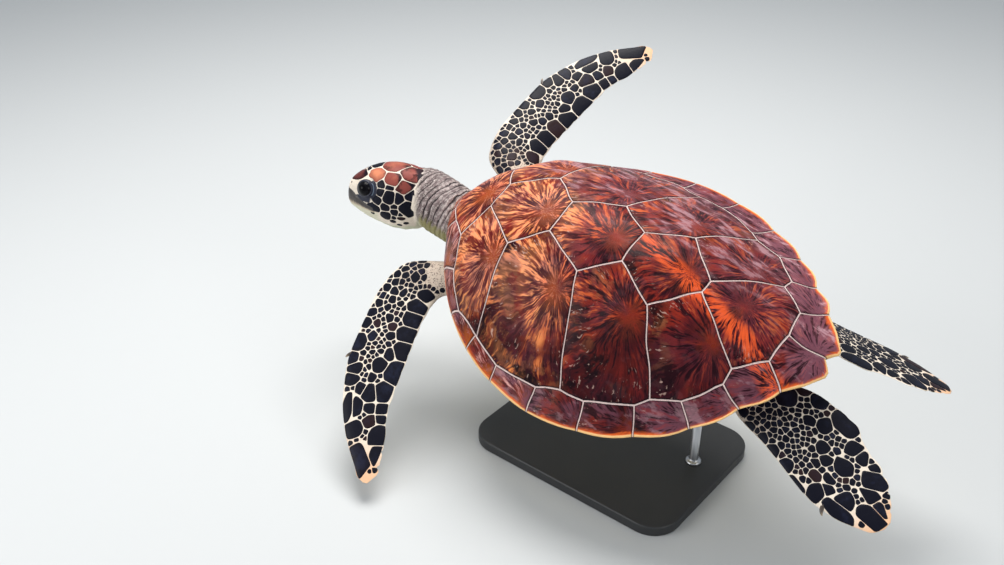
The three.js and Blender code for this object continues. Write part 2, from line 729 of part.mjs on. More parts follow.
function buildShell() {
  add(turtle, 'nuchal', wedge(nuchalStations()), 'margin');
  for (const [name, geometry] of Object.entries(largePlates())) add(turtle, name, geometry, 'plate');
  for (const k of range(MARGIN_SEAMS.length)) {
    const stations = marginStations(k);
    add(turtle, `marginal_left_${k + 1}`, wedge(stations), 'margin');
    add(turtle, `marginal_right_${k + 1}`, wedge(stations.map(mirrored)), 'margin');
  }
}

function buildBody() {
  const trunkGrown = solid(trunkBody(2 * GAP));
  const belly = solid(bellyBody(-GAP, 2));
  add(turtle, 'trunk', trunkBody(0), 'skin');
  add(turtle, 'plastron', plastron(), 'plastron');
  const cover = solid(shellCover());
  const cutAway = (body, cutters) => cutters.reduce((left, cutter) => left.subtract(cutter), body);
  const neck = cutAway(solid(tube(NECK, 9, 14, 0)), [trunkGrown, belly, cover, solid(skull(GAP))]);
  add(turtle, 'neck', geometryOf(mainPiece(neck)), 'skin');
  for (const [name, geometry] of Object.entries(headParts())) {
    const look = name.startsWith('eye') ? 'eye' : name === 'beak' ? 'beak' : 'head';
    add(turtle, name, geometry, look);
  }
  const tail = cutAway(solid(tube(TAIL, 6, 12, 0)), [trunkGrown, belly, cover]);
  add(turtle, 'tail', geometryOf(mainPiece(tail)), 'skin');
  const around = [trunkGrown, belly, cover, solid(tube(NECK, 9, 14, GAP))];
  for (const [name, limb] of Object.entries(LIMBS)) {
    const whole = solid(flipper(limb));
    const body = cutAway(whole, around);
    add(turtle, name, geometryOf(mainPiece(body)), 'limb');
    const claws = mainPiece(solid(claw(limb)).subtract(whole));
    add(turtle, name.replace('flipper', 'claw'), geometryOf(claws), 'claw');
  }
}

function buildStand() {
  add(display, 'stand_base', standBase(), 'base');
  add(display, 'stand_rod_front', standRod(ROD_AT[0]), 'rod');
  add(display, 'stand_rod_rear', standRod(ROD_AT[1]), 'rod');
}

buildShell();
buildBody();
buildStand();

export default display;
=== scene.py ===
# %% [markdown]
# # A young green turtle on a display stand
# The real thing is a sea turtle about 56 cm long in the shell, gliding with its left side low,
# as a museum would show it: a life-size model held over a flat base by two rods.
# We work in cells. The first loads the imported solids, which fix every size, and keeps their box.

# %% Load the frame
import functools
import math
import random

import bmesh
import bpy
import numpy as np
from mathutils import Matrix, Vector, noise
from mathutils.bvhtree import BVHTree


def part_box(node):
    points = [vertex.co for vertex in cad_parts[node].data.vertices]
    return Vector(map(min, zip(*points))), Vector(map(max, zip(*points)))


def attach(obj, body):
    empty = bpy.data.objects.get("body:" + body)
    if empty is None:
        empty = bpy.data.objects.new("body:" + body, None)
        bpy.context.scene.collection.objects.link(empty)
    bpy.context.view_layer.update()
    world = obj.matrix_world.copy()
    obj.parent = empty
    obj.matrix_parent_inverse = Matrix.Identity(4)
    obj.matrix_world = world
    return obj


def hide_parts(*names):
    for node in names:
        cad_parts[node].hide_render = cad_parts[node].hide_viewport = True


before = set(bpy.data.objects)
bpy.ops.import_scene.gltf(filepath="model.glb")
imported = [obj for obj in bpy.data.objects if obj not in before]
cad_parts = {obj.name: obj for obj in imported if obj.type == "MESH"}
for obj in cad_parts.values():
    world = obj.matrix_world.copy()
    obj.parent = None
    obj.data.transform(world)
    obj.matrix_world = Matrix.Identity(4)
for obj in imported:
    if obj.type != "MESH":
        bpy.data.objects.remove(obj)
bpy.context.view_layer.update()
print("frame holds", len(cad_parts), "solids")

# %% [markdown]
# ## The camera
# A camera is a lens and a place. The lens is worked out from the focal length in pixels, and the
# turn from the direction in which the camera looks back, so that its sides stay square. Each thing
# in a scene is data, such as a lens or a mesh, and an object that gives the data a place.

# %% Camera
IMAGE_WIDTH = 1004
FOCAL_PIXELS = 1065
SENSOR = 36
CAMERA_AT = Vector((1.0202, 0.6378, 1.0023))
CAMERA_BACK = Vector((0.6588, 0.5427, 0.5211))


def add_object(name, data):
    made = bpy.data.objects.new(name, data)
    bpy.context.scene.collection.objects.link(made)
    return made


lens = bpy.data.cameras.new("studio_camera")
lens.sensor_width = SENSOR
lens.lens = SENSOR * FOCAL_PIXELS / IMAGE_WIDTH
lens.clip_start = 0.05
lens.clip_end = 60
camera = add_object("studio_camera", lens)
camera.location = CAMERA_AT
camera.rotation_mode = "QUATERNION"
camera.rotation_quaternion = CAMERA_BACK.to_track_quat("Z", "Y")
bpy.context.scene.camera = camera
print("lens", round(lens.lens, 2), "mm")

# %% [markdown]
# ## The turtle's own frame
# It is far easier to shape an animal that lies level: x from the tail to the head, y to its left,
# z up, in millimetres. One matrix then banks it, turns it and lifts it over the stand. Every piece
# is baked through that matrix at the end, so its object stays at the origin.

# %% From the turtle's frame to the room
BANK = 24.3
LIFT = 250
BALANCE = (285, 12)
TO_METRES = Matrix.Scale(0.001, 4)


def rotation(degrees, axis):
    return Matrix.Rotation(math.radians(degrees), 4, axis)


to_room = (
    TO_METRES
    @ Matrix.Translation((0, 0, LIFT))
    @ rotation(-90, "Z")
    @ rotation(-BANK, "X")
    @ Matrix.Translation((-BALANCE[0], -BALANCE[1], 0))
)


def make_piece(bm, name, material, replaced=(), matrix=to_room):
    """Turn a finished bmesh into an object of the model that rides with the root body."""
    bmesh.ops.transform(bm, matrix=matrix, verts=bm.verts)
    mesh = bpy.data.meshes.new(name)
    bm.to_mesh(mesh)
    bm.free()
    mesh.shade_smooth()
    mesh.materials.append(material)
    piece = add_object(name, mesh)
    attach(piece, "root")
    if replaced:
        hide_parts(*replaced)
    return piece


print("nose points to", [round(c, 2) for c in (to_room.to_3x3() @ Vector((1000, 0, 0)))])

# %% [markdown]
# ## Smooth tables
# The sizes are tables with a row every few centimetres. Straight lines between rows would show as
# kinks, and an ordinary spline overshoots. This curve keeps each slope between its neighbours.

# %% A curve through a table
def smooth(table, column):
    """A curve through one column of a table, against its first column, with no overshoot."""
    xs = [row[0] for row in table]
    ys = [row[column] for row in table]
    last = len(xs) - 1
    slope = [(ys[i + 1] - ys[i]) / (xs[i + 1] - xs[i]) for i in range(last)]
    lean = [slope[0]]
    for i in range(1, last):
        product = slope[i - 1] * slope[i]
        lean.append(0 if product <= 0 else 2 * product / (slope[i - 1] + slope[i]))
    lean.append(slope[-1])

    @functools.lru_cache(maxsize=None)
    def curve(x):
        v = min(max(x, xs[0]), xs[-1])
        i = 0
        while i < last - 1 and v > xs[i + 1]:
            i += 1
        h = xs[i + 1] - xs[i]
        t = (v - xs[i]) / h
        ends = (1 + 2 * t) * (1 - t) ** 2 * ys[i] + t * t * (3 - 2 * t) * ys[i + 1]
        return ends + t * (1 - t) ** 2 * h * lean[i] - t * t * (1 - t) * h * lean[i + 1]

    return curve


def clamp(v, low=0.0, high=1.0):
    return min(high, max(low, v))


def lerp(a, b, t):
    return a + (b - a) * t


def mix(p, q, t):
    return tuple(lerp(a, b, t) for a, b in zip(p, q))


def ease(v, low, high):
    """0 below low, 1 above high, and an S-curve between; v may be an array."""
    t = np.clip((v - low) / (high - low), 0, 1)
    return t * t * (3 - 2 * t)


# %% [markdown]
# ## The shell's sizes
# The carapace is a low dome: an outline, a rim that dips at the sides, and a crown. Its plates meet
# along seams that are given as corner points, in the same millimetres as the solids.

# %% Shell tables
SHELL = [
    (-10, 20, 24, 0.5), (0, 34, 25, 3), (24, 60, 26, 10), (44, 82, 21, 27), (60, 98, 16, 41),
    (104, 141, 1, 70), (162, 178, -8, 98), (227, 203, -9.5, 119), (299, 212, -6.5, 125),
    (368, 200, 2, 120), (422, 178, 10, 112), (472, 145, 16, 98), (508, 111, 20, 79),
    (529, 86, 25, 62), (545, 56, 35, 39), (556, 28, 45, 18), (562, 0, 54, 3),
]
SHELL_REAR = SHELL[0][0]
SHELL_FRONT = SHELL[-1][0]
CROWN_POWER = 2.05
FLARE = [(0, 1.4), (160, 1.5), (280, 1.45), (340, 1.3), (380, 1.12), (420, 0.98), (460, 0.8),
         (500, 0.8), (562, 0.95)]
RIM_EDGE = 3
half_width = smooth(SHELL, 1)
rim_height = smooth(SHELL, 2)
crown_height = smooth(SHELL, 3)
flare = smooth(FLARE, 1)


def shell_top(x, y):
    t = clamp(abs(y) / max(half_width(x), 1))
    return rim_height(x) + crown_height(x) * (1 - t**CROWN_POWER) ** flare(x)


MARGIN_SEAMS = [
    (557, 537, 20), (550, 519, 42, 489, 65), (525, 480.5, 104), (472, 450, 146), (422, 407, 164),
    (367, 364, 183), (301, 301.5, 184.5, 268.5, 173.5), (229, 235, 173),
    (162, 175, 149.5, 160, 136.5), (104, 123.5, 121), (60, 85.5, 84, 84, 66.5), (25, 49.5, 39),
]
FRONT_INNER = (542, 0)
REAR_INNER = (44, 0)
NOTCH = [(-10, 13), (0, 0)]
SERRATION = 5
J1 = (459, 21.5)
J2 = (404, 62)
J3 = (357.5, 26.5)
J4 = (297, 58)
J5 = (251, 25)
J6 = (198, 57)
J7 = (150, 8.5)
COSTAL_ENDS = (404.5, 268.5, 160)
COSTAL_FRONT = 489
COSTAL_REAR = 84
print("crown of the shell", round(shell_top(299, 0), 1), "mm over the rim plane")

# %% [markdown]
# ## Outlines of the plates
# Each plate is a polygon seen from above. Neighbours must share their corners exactly, so one
# function gives a stretch of the inner seam and every plate asks it for its own part.

# %% Plate outlines
MARGIN_STEPS = 6


def outline_point(x, out):
    """The rim of the shell at x, on its left, moved out by a few millimetres."""
    reach = 3
    slope = (half_width(x + reach) - half_width(x - reach)) / (2 * reach)
    length = math.hypot(1, slope)
    return (x - slope / length * out, half_width(x) + out / length)


def margin_stations(k):
    """Pairs of outer and inner points of marginal plate k on the left."""
    outer_x, inner_x, inner_y, *corner = MARGIN_SEAMS[k]
    inner = (inner_x, inner_y)
    if k == len(MARGIN_SEAMS) - 1:
        tip = outline_point(SHELL_REAR, 0)
        outer = [outline_point(outer_x, 0), outline_point(lerp(outer_x, tip[0], 0.55), 1), tip]
        outer = outer + NOTCH
        return [(p, mix(inner, REAR_INNER, i / (len(outer) - 1))) for i, p in enumerate(outer)]
    following = MARGIN_SEAMS[k + 1]
    end = following[1:3]
    middle = tuple(corner) if corner else mix(inner, end, 0.5)
    strength = SERRATION * clamp((k - 5) / 4)
    stations = []
    for i in range(MARGIN_STEPS + 1):
        t = i / MARGIN_STEPS
        bulge = strength * math.sin(math.pi * t**1.5)
        seam = mix(inner, middle, 2 * t) if t < 0.5 else mix(middle, end, 2 * t - 1)
        stations.append((outline_point(lerp(outer_x, following[0], t), bulge), seam))
    return stations


def mirrored(points):
    return [(x, -y) for x, y in points]


def inner_seam_points():
    points = [FRONT_INNER]
    for _, inner_x, inner_y, *corner in MARGIN_SEAMS:
        points.append((inner_x, inner_y))
        if corner:
            points.append(tuple(corner))
    return points + [REAR_INNER]


INNER_SEAM = inner_seam_points()


def on_inner_seam(place):
    x = clamp(place, REAR_INNER[0], FRONT_INNER[0])
    i = 0
    while i < len(INNER_SEAM) - 2 and INNER_SEAM[i + 1][0] > x:
        i += 1
    t = (INNER_SEAM[i][0] - x) / (INNER_SEAM[i][0] - INNER_SEAM[i + 1][0])
    return mix(INNER_SEAM[i], INNER_SEAM[i + 1], t)


def inner_seam(from_x, to_x):
    between = [p for p in INNER_SEAM if to_x + 1 < p[0] < from_x - 1]
    return [on_inner_seam(from_x), *between, on_inner_seam(to_x)]


# %% [markdown]
# ## The large plates' outlines and growth centres
# Horn plates grow outwards from a point near their rear edge, and the coloured rays fan out from
# it. So each plate carries its own centre of growth, and a marginal plate also its outer rim.

# %% Large plates and their growth centres
VERTEBRAL = [
    [*inner_seam(FRONT_INNER[0], COSTAL_FRONT), J1],
    [J1, J2, J3],
    [J3, J4, J5],
    [J5, J6, J7],
    [J7, *inner_seam(COSTAL_REAR, REAR_INNER[0])],
]
COSTAL = [
    [J1, J2, *reversed(inner_seam(COSTAL_FRONT, COSTAL_ENDS[0]))],
    [J2, J3, J4, *reversed(inner_seam(COSTAL_ENDS[0], COSTAL_ENDS[1]))],
    [J4, J5, J6, *reversed(inner_seam(COSTAL_ENDS[1], COSTAL_ENDS[2]))],
    [J6, J7, *reversed(inner_seam(COSTAL_ENDS[2], COSTAL_REAR))],
]
VERTEBRAL_GROWTH = [(478, 0), (377, 4), (274, 0), (173, -3), (100, -3)]
COSTAL_GROWTH = [(413, 84), (313, 86), (212, 77), (113, 58)]
NUCHAL_GROWTH = (540, 0)
NUCHAL_SHOULDER = 560.5


def whole_outline(half):
    """A middle plate's outline from its left half."""
    sides = [p for p in half if abs(p[1]) > 0.5]
    middle = [p for p in half if abs(p[1]) <= 0.5]
    front = [p for p in middle if p[0] > sides[0][0]]
    rear = [p for p in middle if p not in front]
    return [*front, *sides, *rear, *reversed(mirrored(sides))]


# each is a name, an outline, a centre of growth and the points of an outer rim
plates = []


def add_pair(kind, number, outline, centre, rim_points):
    plates.append((f"{kind}_left_{number}", outline, centre, rim_points))
    flipped = mirrored([centre])[0]
    plates.append((f"{kind}_right_{number}", mirrored(outline), flipped, mirrored(rim_points)))


for number, half in enumerate(VERTEBRAL):
    plates.append((f"vertebral_{number + 1}", whole_outline(half), VERTEBRAL_GROWTH[number], []))
for number, outline in enumerate(COSTAL):
    add_pair("costal", number + 1, outline, COSTAL_GROWTH[number], [])
for number in range(len(MARGIN_SEAMS)):
    outer, inner = [list(side) for side in zip(*margin_stations(number))]
    centre = mix(outer[-1], inner[-1], 0.25)
    add_pair("marginal", number + 1, outer + inner[::-1], centre, outer)
nuchal_half = [outline_point(MARGIN_SEAMS[0][0], 0), outline_point(NUCHAL_SHOULDER, 0)]
nuchal_outer = [*nuchal_half, (SHELL_FRONT, 0), *reversed(mirrored(nuchal_half))]
nuchal_corner = MARGIN_SEAMS[0][1:3]
nuchal_inner = [*mirrored([nuchal_corner]), FRONT_INNER, nuchal_corner]
plates.append(("nuchal", nuchal_outer + nuchal_inner, NUCHAL_GROWTH, nuchal_outer))
print(len(plates), "plates")

# %% [markdown]
# ## Shader maths as Python
# A material here is a formula: distance from a seam, angle round a growth centre, a little noise.
# Wiring maths nodes by hand hides the formula, so a small class wraps a socket and lets us write
# `1 - mask * 0.5`. Colours never pass through maths nodes, which would turn them grey: they are
# blended, and read from ramps.

# %% The socket class and the material builder
class Value:
    """A number that changes over the surface: the output socket of a node."""

    def __init__(self, tree, socket):
        self.tree = tree
        self.socket = socket

    def math(self, operation, *others):
        values = {i: v for i, v in enumerate([self, *others])}
        return self.tree.node("ShaderNodeMath", {"operation": operation}, values)

    def __add__(self, other):
        return self.math("ADD", other)

    __radd__ = __add__

    def __mul__(self, other):
        return self.math("MULTIPLY", other)

    __rmul__ = __mul__

    def __sub__(self, other):
        return self.math("SUBTRACT", other)

    def __rsub__(self, other):
        settings = {"operation": "SUBTRACT"}
        return self.tree.node("ShaderNodeMath", settings, {0: other, 1: self})

    def __truediv__(self, other):
        return self.math("DIVIDE", other)

    def __pow__(self, other):
        return self.math("POWER", other)


class Finish:
    """One procedural material."""

    def __init__(self, name, **constants):
        self.material = bpy.data.materials.new(name)
        self.material.use_nodes = True
        self.nodes = self.material.node_tree.nodes
        self.links = self.material.node_tree.links
        self.surface = next(n for n in self.nodes if n.type == "BSDF_PRINCIPLED")
        for socket, value in constants.items():
            self.surface.inputs[socket.replace("_", " ")].default_value = value

    def node(self, kind, settings=None, values=None, output=None):
        made = self.nodes.new(kind)
        for key, value in (settings or {}).items():
            setattr(made, key, value)
        for key, value in (values or {}).items():
            if isinstance(key, int):
                socket = made.inputs[key]
            else:
                socket = next(s for s in made.inputs if key in (s.identifier, s.name) and s.enabled)
            if isinstance(value, Value):
                self.links.new(value.socket, socket)
            else:
                socket.default_value = value
        if output is None:
            found = next(s for s in made.outputs if s.enabled)
        else:
            found = made.outputs[output]
        return Value(self, found)

    def attribute(self, name, output="Fac"):
        return self.node("ShaderNodeAttribute", {"attribute_name": name}, output=output)

    def place(self):
        return self.node("ShaderNodeTexCoord", output="Object")

    def parts(self, vector):
        return [self.node("ShaderNodeSeparateXYZ", values={0: vector}, output=k) for k in range(3)]

    def vector(self, x, y, z):
        return self.node("ShaderNodeCombineXYZ", values={0: x, 1: y, 2: z})

    def stretch(self, vector, scale):
        settings = {"operation": "MULTIPLY"}
        return self.node("ShaderNodeVectorMath", settings, {0: vector, 1: scale})

    def noise(self, vector, scale, detail=3, roughness=0.55, distortion=0.0):
        values = {"Vector": vector, "Scale": scale, "Detail": detail, "Roughness": roughness}
        values["Distortion"] = distortion
        return self.node("ShaderNodeTexNoise", values=values, output="Fac")

    def cells(self, vector, scale):
        values = {"Vector": vector, "Scale": scale}
        return self.node("ShaderNodeTexVoronoi", values=values, output="Distance")

    def rise(self, value, low, high):
        """0 at low, 1 at high, with an S-curve between."""
        values = {"Value": value, "From Min": low, "From Max": high}
        return self.node("ShaderNodeMapRange", {"interpolation_type": "SMOOTHSTEP"}, values)

    def ramp(self, value, stops):
        made = self.node("ShaderNodeValToRGB", values={0: value}, output="Color")
        elements = made.socket.node.color_ramp.elements
        while len(elements) < len(stops):
            elements.new(0.5)
        for element, (place, colour) in zip(elements, stops):
            element.position = place
            element.color = (*colour, 1)
        return made

    def blend(self, factor, a, b):
        a = a if isinstance(a, Value) else (*a, 1)
        b = b if isinstance(b, Value) else (*b, 1)
        values = {"Factor_Float": factor, "A_Color": a, "B_Color": b}
        return self.node("ShaderNodeMix", {"data_type": "RGBA"}, values, output="Result")

    def paint(self, **outputs):
        """Feed the surface's sockets, and a bump from height=(value, depth in metres)."""
        height = outputs.pop("height", None)
        for name, value in outputs.items():
            self.links.new(value.socket, self.surface.inputs[name.replace("_", " ")])
        if height:
            values = {"Height": height[0], "Distance": height[1], "Strength": 1.0}
            bump = self.node("ShaderNodeBump", values=values)
            self.links.new(bump.socket, self.surface.inputs["Normal"])
        return self.material


# %% [markdown]
# ## The horn of the shell
# A young green turtle's plates are amber horn with rays of chestnut, orange and near-black that
# fan from the centre of growth, and each seam is a pale line with a dark band of painted shade beside
# it, where the border sinks. An image could never follow 38 plates, so the rays are noise read in polar
# form: the direction from the growth centre is stretched a lot and the distance only a little. Broad
# masks by place then turn the front golden and the rear a hazy purple. The crown is made warmer and
# brighter as painted light, the low side dark as painted shade, and the far side gets lilac wisps of
# painted sky reflection.

# %% Finish of the shell plates
CREAM_SEAM = (0.78, 0.62, 0.59)
NEAR_BLACK = (0.005, 0.002, 0.004)
DARK_PLUM = (0.014, 0.003, 0.006)
PURPLE = (0.080, 0.018, 0.036)
MAROON = (0.060, 0.007, 0.012)
CHESTNUT = (0.095, 0.013, 0.009)
RED_BROWN = (0.230, 0.020, 0.012)
TAN_BROWN = (0.260, 0.090, 0.038)
CRIMSON = (0.300, 0.024, 0.018)
ORANGE = (0.780, 0.130, 0.022)
FLAME = (0.760, 0.100, 0.022)
GOLD = (0.900, 0.350, 0.110)
AMBER = (0.420, 0.095, 0.014)
PALE_FLECK = (0.640, 0.430, 0.360)
PINK_GLINT = (0.720, 0.420, 0.380)
PEACH = (0.800, 0.330, 0.220)
RIM_PURPLE = (0.170, 0.062, 0.090)
RIM_ROSE = (0.480, 0.150, 0.130)
# the next two colours are a painted reflection of the pale sky
LILAC_SHEEN = (0.520, 0.310, 0.350)
SKY_SHEEN = (0.300, 0.105, 0.120)
RIM_CREAM = (0.900, 0.560, 0.240)
# heights over the floor in metres, between which the shell's side turns from painted shade to painted
# light
LOW_SIDE = 0.235
HIGH_SIDE = 0.310


def horn(name, purple, rim_depth, cloud, warm, bright):
    """The finish of one kind of plate: how purple it is, how deep its pale rim, and its colours."""
    f = Finish(name, Coat_Roughness=0.12, Coat_IOR=1.4, Specular_IOR_Level=0.06)
    place = f.place()
    across, along, up = f.parts(place)
    dx, dy, plate = f.parts(f.attribute("growth", "Vector"))
    radius = (dx * dx + dy * dy) ** 0.5
    sway = (f.noise(place, 15, 3) - 0.5) * 0.45
    way_x = dx / (radius + 0.03) + sway
    way_y = dy / (radius + 0.03) - sway
    broad = f.noise(f.vector(way_x * 1.6, way_y * 1.6, plate * 5 + radius * 1.2), 1, 2)
    ray = f.noise(f.vector(way_x * 7, way_y * 7, plate * 9 + radius * 2.4), 1, 3, 0.6)
    thin = f.noise(f.vector(way_x * 18, way_y * 18, plate * 3 + radius * 4.5), 1, 2, 0.6)
    nick = f.noise(f.vector(way_x * 30, way_y * 30, plate * 7 + radius * 12), 1, 2, 0.6)
    blotch = f.noise(place, 17, 4, 0.6)
    drift = (blotch - 0.5) * 0.12
    streak = ray * 0.62 + thin * 0.38
    # high is 1 on the upper shell and 0 on its low side: it steers painted light, which makes the top
    # warmer and brighter, and painted shade on the low side
    high = f.rise(up + drift * 0.4, LOW_SIDE, HIGH_SIDE)
    front = f.rise(along - across * 0.45 + drift, -0.03, -0.11)
    far = f.rise(across + drift, 0.03, -0.06)
    rear = f.rise(along + drift, 0.02, 0.11)
    zone = f.rise(f.noise(place, 9, 2) + (broad - 0.5) * 0.9 + front * 0.07, 0.44, 0.58)

    reach = radius + (blotch - 0.5) * 0.5 + (streak - 0.5) * 0.55
    stops = [(0.0, RED_BROWN), (0.12, CHESTNUT), (0.30, MAROON), (0.50, RED_BROWN),
             (0.66, CHESTNUT), (0.84, MAROON), (1.0, DARK_PLUM)]
    colour = f.ramp(reach, stops)
    colour = f.blend(f.rise(reach, 0.26, 0.0) * (front * 0.7 + 0.15) * (1 - high * 0.4), colour, AMBER)
    tan = f.rise(f.noise(place, 26, 4, 0.65) + front * 0.08, 0.54, 0.64) * f.rise(radius, 0.3, 0.6)
    colour = f.blend(tan * 0.75, colour, TAN_BROWN)
    colour = f.blend(f.rise(broad, 0.50, 0.60) * 0.5, colour, RED_BROWN)
    colour = f.blend(f.rise(blotch + (far + rear) * 0.08, 0.48, 0.62) * purple, colour, cloud)
    # painted shade: the low side, except at the front, is darkened towards dark plum
    shade = (1 - high) * (1 - front) * (1.3 - purple)
    colour = f.blend(shade * 0.8, colour, DARK_PLUM)
    start = f.rise(radius, 0.01, 0.20)
    dark = f.rise(streak, 0.50, 0.42) * start * (1 - front * 0.35 - front * high * 0.3)
    colour = f.blend(dark * 0.92, colour, DARK_PLUM)
    hot = f.rise(streak, 0.515, 0.60) * start * (zone * 0.8 + 0.15) * (1 - shade * 0.5)
    hot = hot * (1 - rear * 0.5)
    # painted light: the high top takes the warmer flame colour and a few more bright streaks, which are
    # pink glints on the marginals
    flame = f.blend(front * 0.7 + high * 0.4, CRIMSON, warm)
    colour = f.blend(hot, colour, flame)
    gold = f.rise(thin * 0.6 + ray * 0.4 + front * 0.02, 0.50, 0.64) * zone * f.rise(radius, 0.12, 0.36)
    colour = f.blend(gold * (front * 0.68 + high * 0.15), colour, bright)
    # a peach wash on the high front plates: partly their own colour, partly painted light from above
    rosy_wash_and_light = front * high * f.rise(streak + (blotch - 0.5) * 0.5, 0.46, 0.62)
    colour = f.blend(rosy_wash_and_light * 0.4, colour, PEACH)
    away = across - along * 0.17 - 0.012 + drift * 0.15
    band = f.rise(away * away, 0.0002, 0.0) * f.rise(along, 0.02, 0.06)
    colour = f.blend(band * f.rise(streak, 0.44, 0.56) * 0.85, colour, FLAME)
    # near-black mottles, more of them far from the growth centre, and more on the low side as painted
    # shade
    mottle_and_low_shade = f.rise(f.noise(place, 30, 4, 0.65) + (radius - 0.7) * 0.22 - high * 0.05, 0.52, 0.64)
    colour = f.blend(mottle_and_low_shade * 0.85, colour, NEAR_BLACK)
    fleck = f.rise(nick, 0.60, 0.66) * f.rise(f.noise(place, 60, 2), 0.49, 0.58)
    colour = f.blend(fleck * f.rise(radius, 0.35, 0.7) * 0.55, colour, PALE_FLECK)
    # painted reflection of the pale sky: hazy and lilac wisps on the far side, and fainter lilac ones
    # on every marginal
    sheen_wisps = f.noise(f.stretch(place, (80, 26, 50)), 1, 4, 0.62)
    colour = f.blend(f.rise(sheen_wisps, 0.40, 0.60) * far * 0.45, colour, SKY_SHEEN)
    colour = f.blend(f.rise(sheen_wisps, 0.54, 0.64) * (far + purple - 0.4) * 0.5, colour, LILAC_SHEEN)

    rim = f.attribute("rim")
    glow = f.rise(rim + (blotch - 0.5) * 12 + (streak - 0.5) * 14, rim_depth, 0.5)
    colour = f.blend(glow * 0.8, colour, ORANGE)
    colour = f.blend(f.rise(rim + (blotch - 0.5) * 3, 2.6, 0.8), colour, RIM_CREAM)
    seam_distance = f.attribute("seam") + (f.noise(place, 300, 2) - 0.5) * 0.6
    # painted shade: a dark band beside each seam, where the plate's border sinks into it
    colour = f.blend(f.rise(seam_distance, 2.6, 1.0) * 0.8, colour, NEAR_BLACK)
    line = f.rise(seam_distance, 0.90, 0.58)
    colour = f.blend(line * 0.95, colour, CREAM_SEAM)

    ridges = f.noise(f.vector(plate * 3, plate, radius * 26), 1, 2) * 0.4
    height = ridges + thin * 0.6 + nick * 0.3 + f.noise(place, 420, 2) * 0.12
    roughness = 0.30 + f.noise(place, 60, 3) * 0.18 + line * 0.25
    coat = 0.07 - f.rise(blotch, 0.42, 0.66) * 0.05
    return f.paint(Base_Color=colour, Roughness=roughness, Coat_Weight=coat, height=(height, 0.0009))


shell_finish = horn("plate_horn", 0.45, 2.0, PURPLE, ORANGE, GOLD)
margin_finish = horn("margin_horn", 0.9, 6.0, RIM_PURPLE, RIM_ROSE, PINK_GLINT)
print("shell finish has", len(shell_finish.node_tree.nodes), "nodes")

# %% [markdown]
# ## Cutting a plate
# A plate starts as one flat polygon. Insets give loops that follow its seams, parallel cuts turn
# the rest into a fine net, and the net is then lifted onto the dome. Extruding the faces first
# leaves an underside, so every plate is a closed piece of horn with a rounded, sunken border.

# %% Plates of horn
CELL = 4.5
BORDER = (0.8, 0.9, 1.4)
PLATE_DEPTH = 4.2
SEAM_SINK = 1.1
PLATE_SWELL = 0.9
FAR_FROM_RIM = 99
SWAY_LENGTH = 38
SWAY_DEPTH = 3.2
SWAY_FADE = 12
STEP_ALONG_OUTLINE = 7
SEAM_WIDTH = 1.3
SWELL_REACH = 16
# how deep the outer rim rolls down, and over what width
RIM_ROLL = (1.2, 0.9)
OFF_RIM = 0.3
THINNEST_RIM = 1.5


def sway_seam(x, y):
    """Seams aren't ruled lines: a slow wander that neighbours share, and new in each run."""
    fade = clamp((half_width(x) - abs(y)) / SWAY_FADE)
    wander = noise.noise_vector(Vector((x, y, 0)) / SWAY_LENGTH) * (SWAY_DEPTH * fade)
    return x + wander.x, y + wander.y


def even_outline(points):
    """The same outline with a point every few millimetres."""
    dense = []
    for a, b in zip(points, points[1:] + points[:1]):
        count = max(1, round(math.dist(a, b) / STEP_ALONG_OUTLINE))
        dense += [mix(a, b, i / count) for i in range(count)]
    return dense


def distance_to(points, lines):
    """From each point to the nearest of some line segments, in the plan."""
    best = np.full(len(points), float(FAR_FROM_RIM))
    for a, b in lines:
        a = np.array(a)
        way = np.array(b) - a
        t = np.clip(((points - a) @ way) / max(way @ way, 1e-9), 0, 1)
        best = np.minimum(best, np.linalg.norm(points - a - t[:, None] * way, axis=1))
    return best


def whole(bm):
    return bm.verts[:] + bm.edges[:] + bm.faces[:]


def flat_net(outline):
    """A flat plate: a border of rings that follow the outline, round a square net."""
    bm = bmesh.new()
    face = bm.faces.new([bm.verts.new((x, y, 0)) for x, y in outline])
    face.normal_update()
    if face.normal.z < 0:
        face.normal_flip()
    for width in BORDER:
        bmesh.ops.inset_region(
            bm, faces=[face], thickness=width, use_boundary=True, use_even_offset=True)
    for axis in (0, 1):
        low = min(p[axis] for p in outline)
        high = max(p[axis] for p in outline)
        way = Vector((1 - axis, axis, 0))
        for k in range(1, int((high - low) / CELL) + 1):
            bmesh.ops.bisect_plane(
                bm, geom=whole(bm), dist=1e-3, plane_co=way * (low + k * CELL), plane_no=way)
    return bm


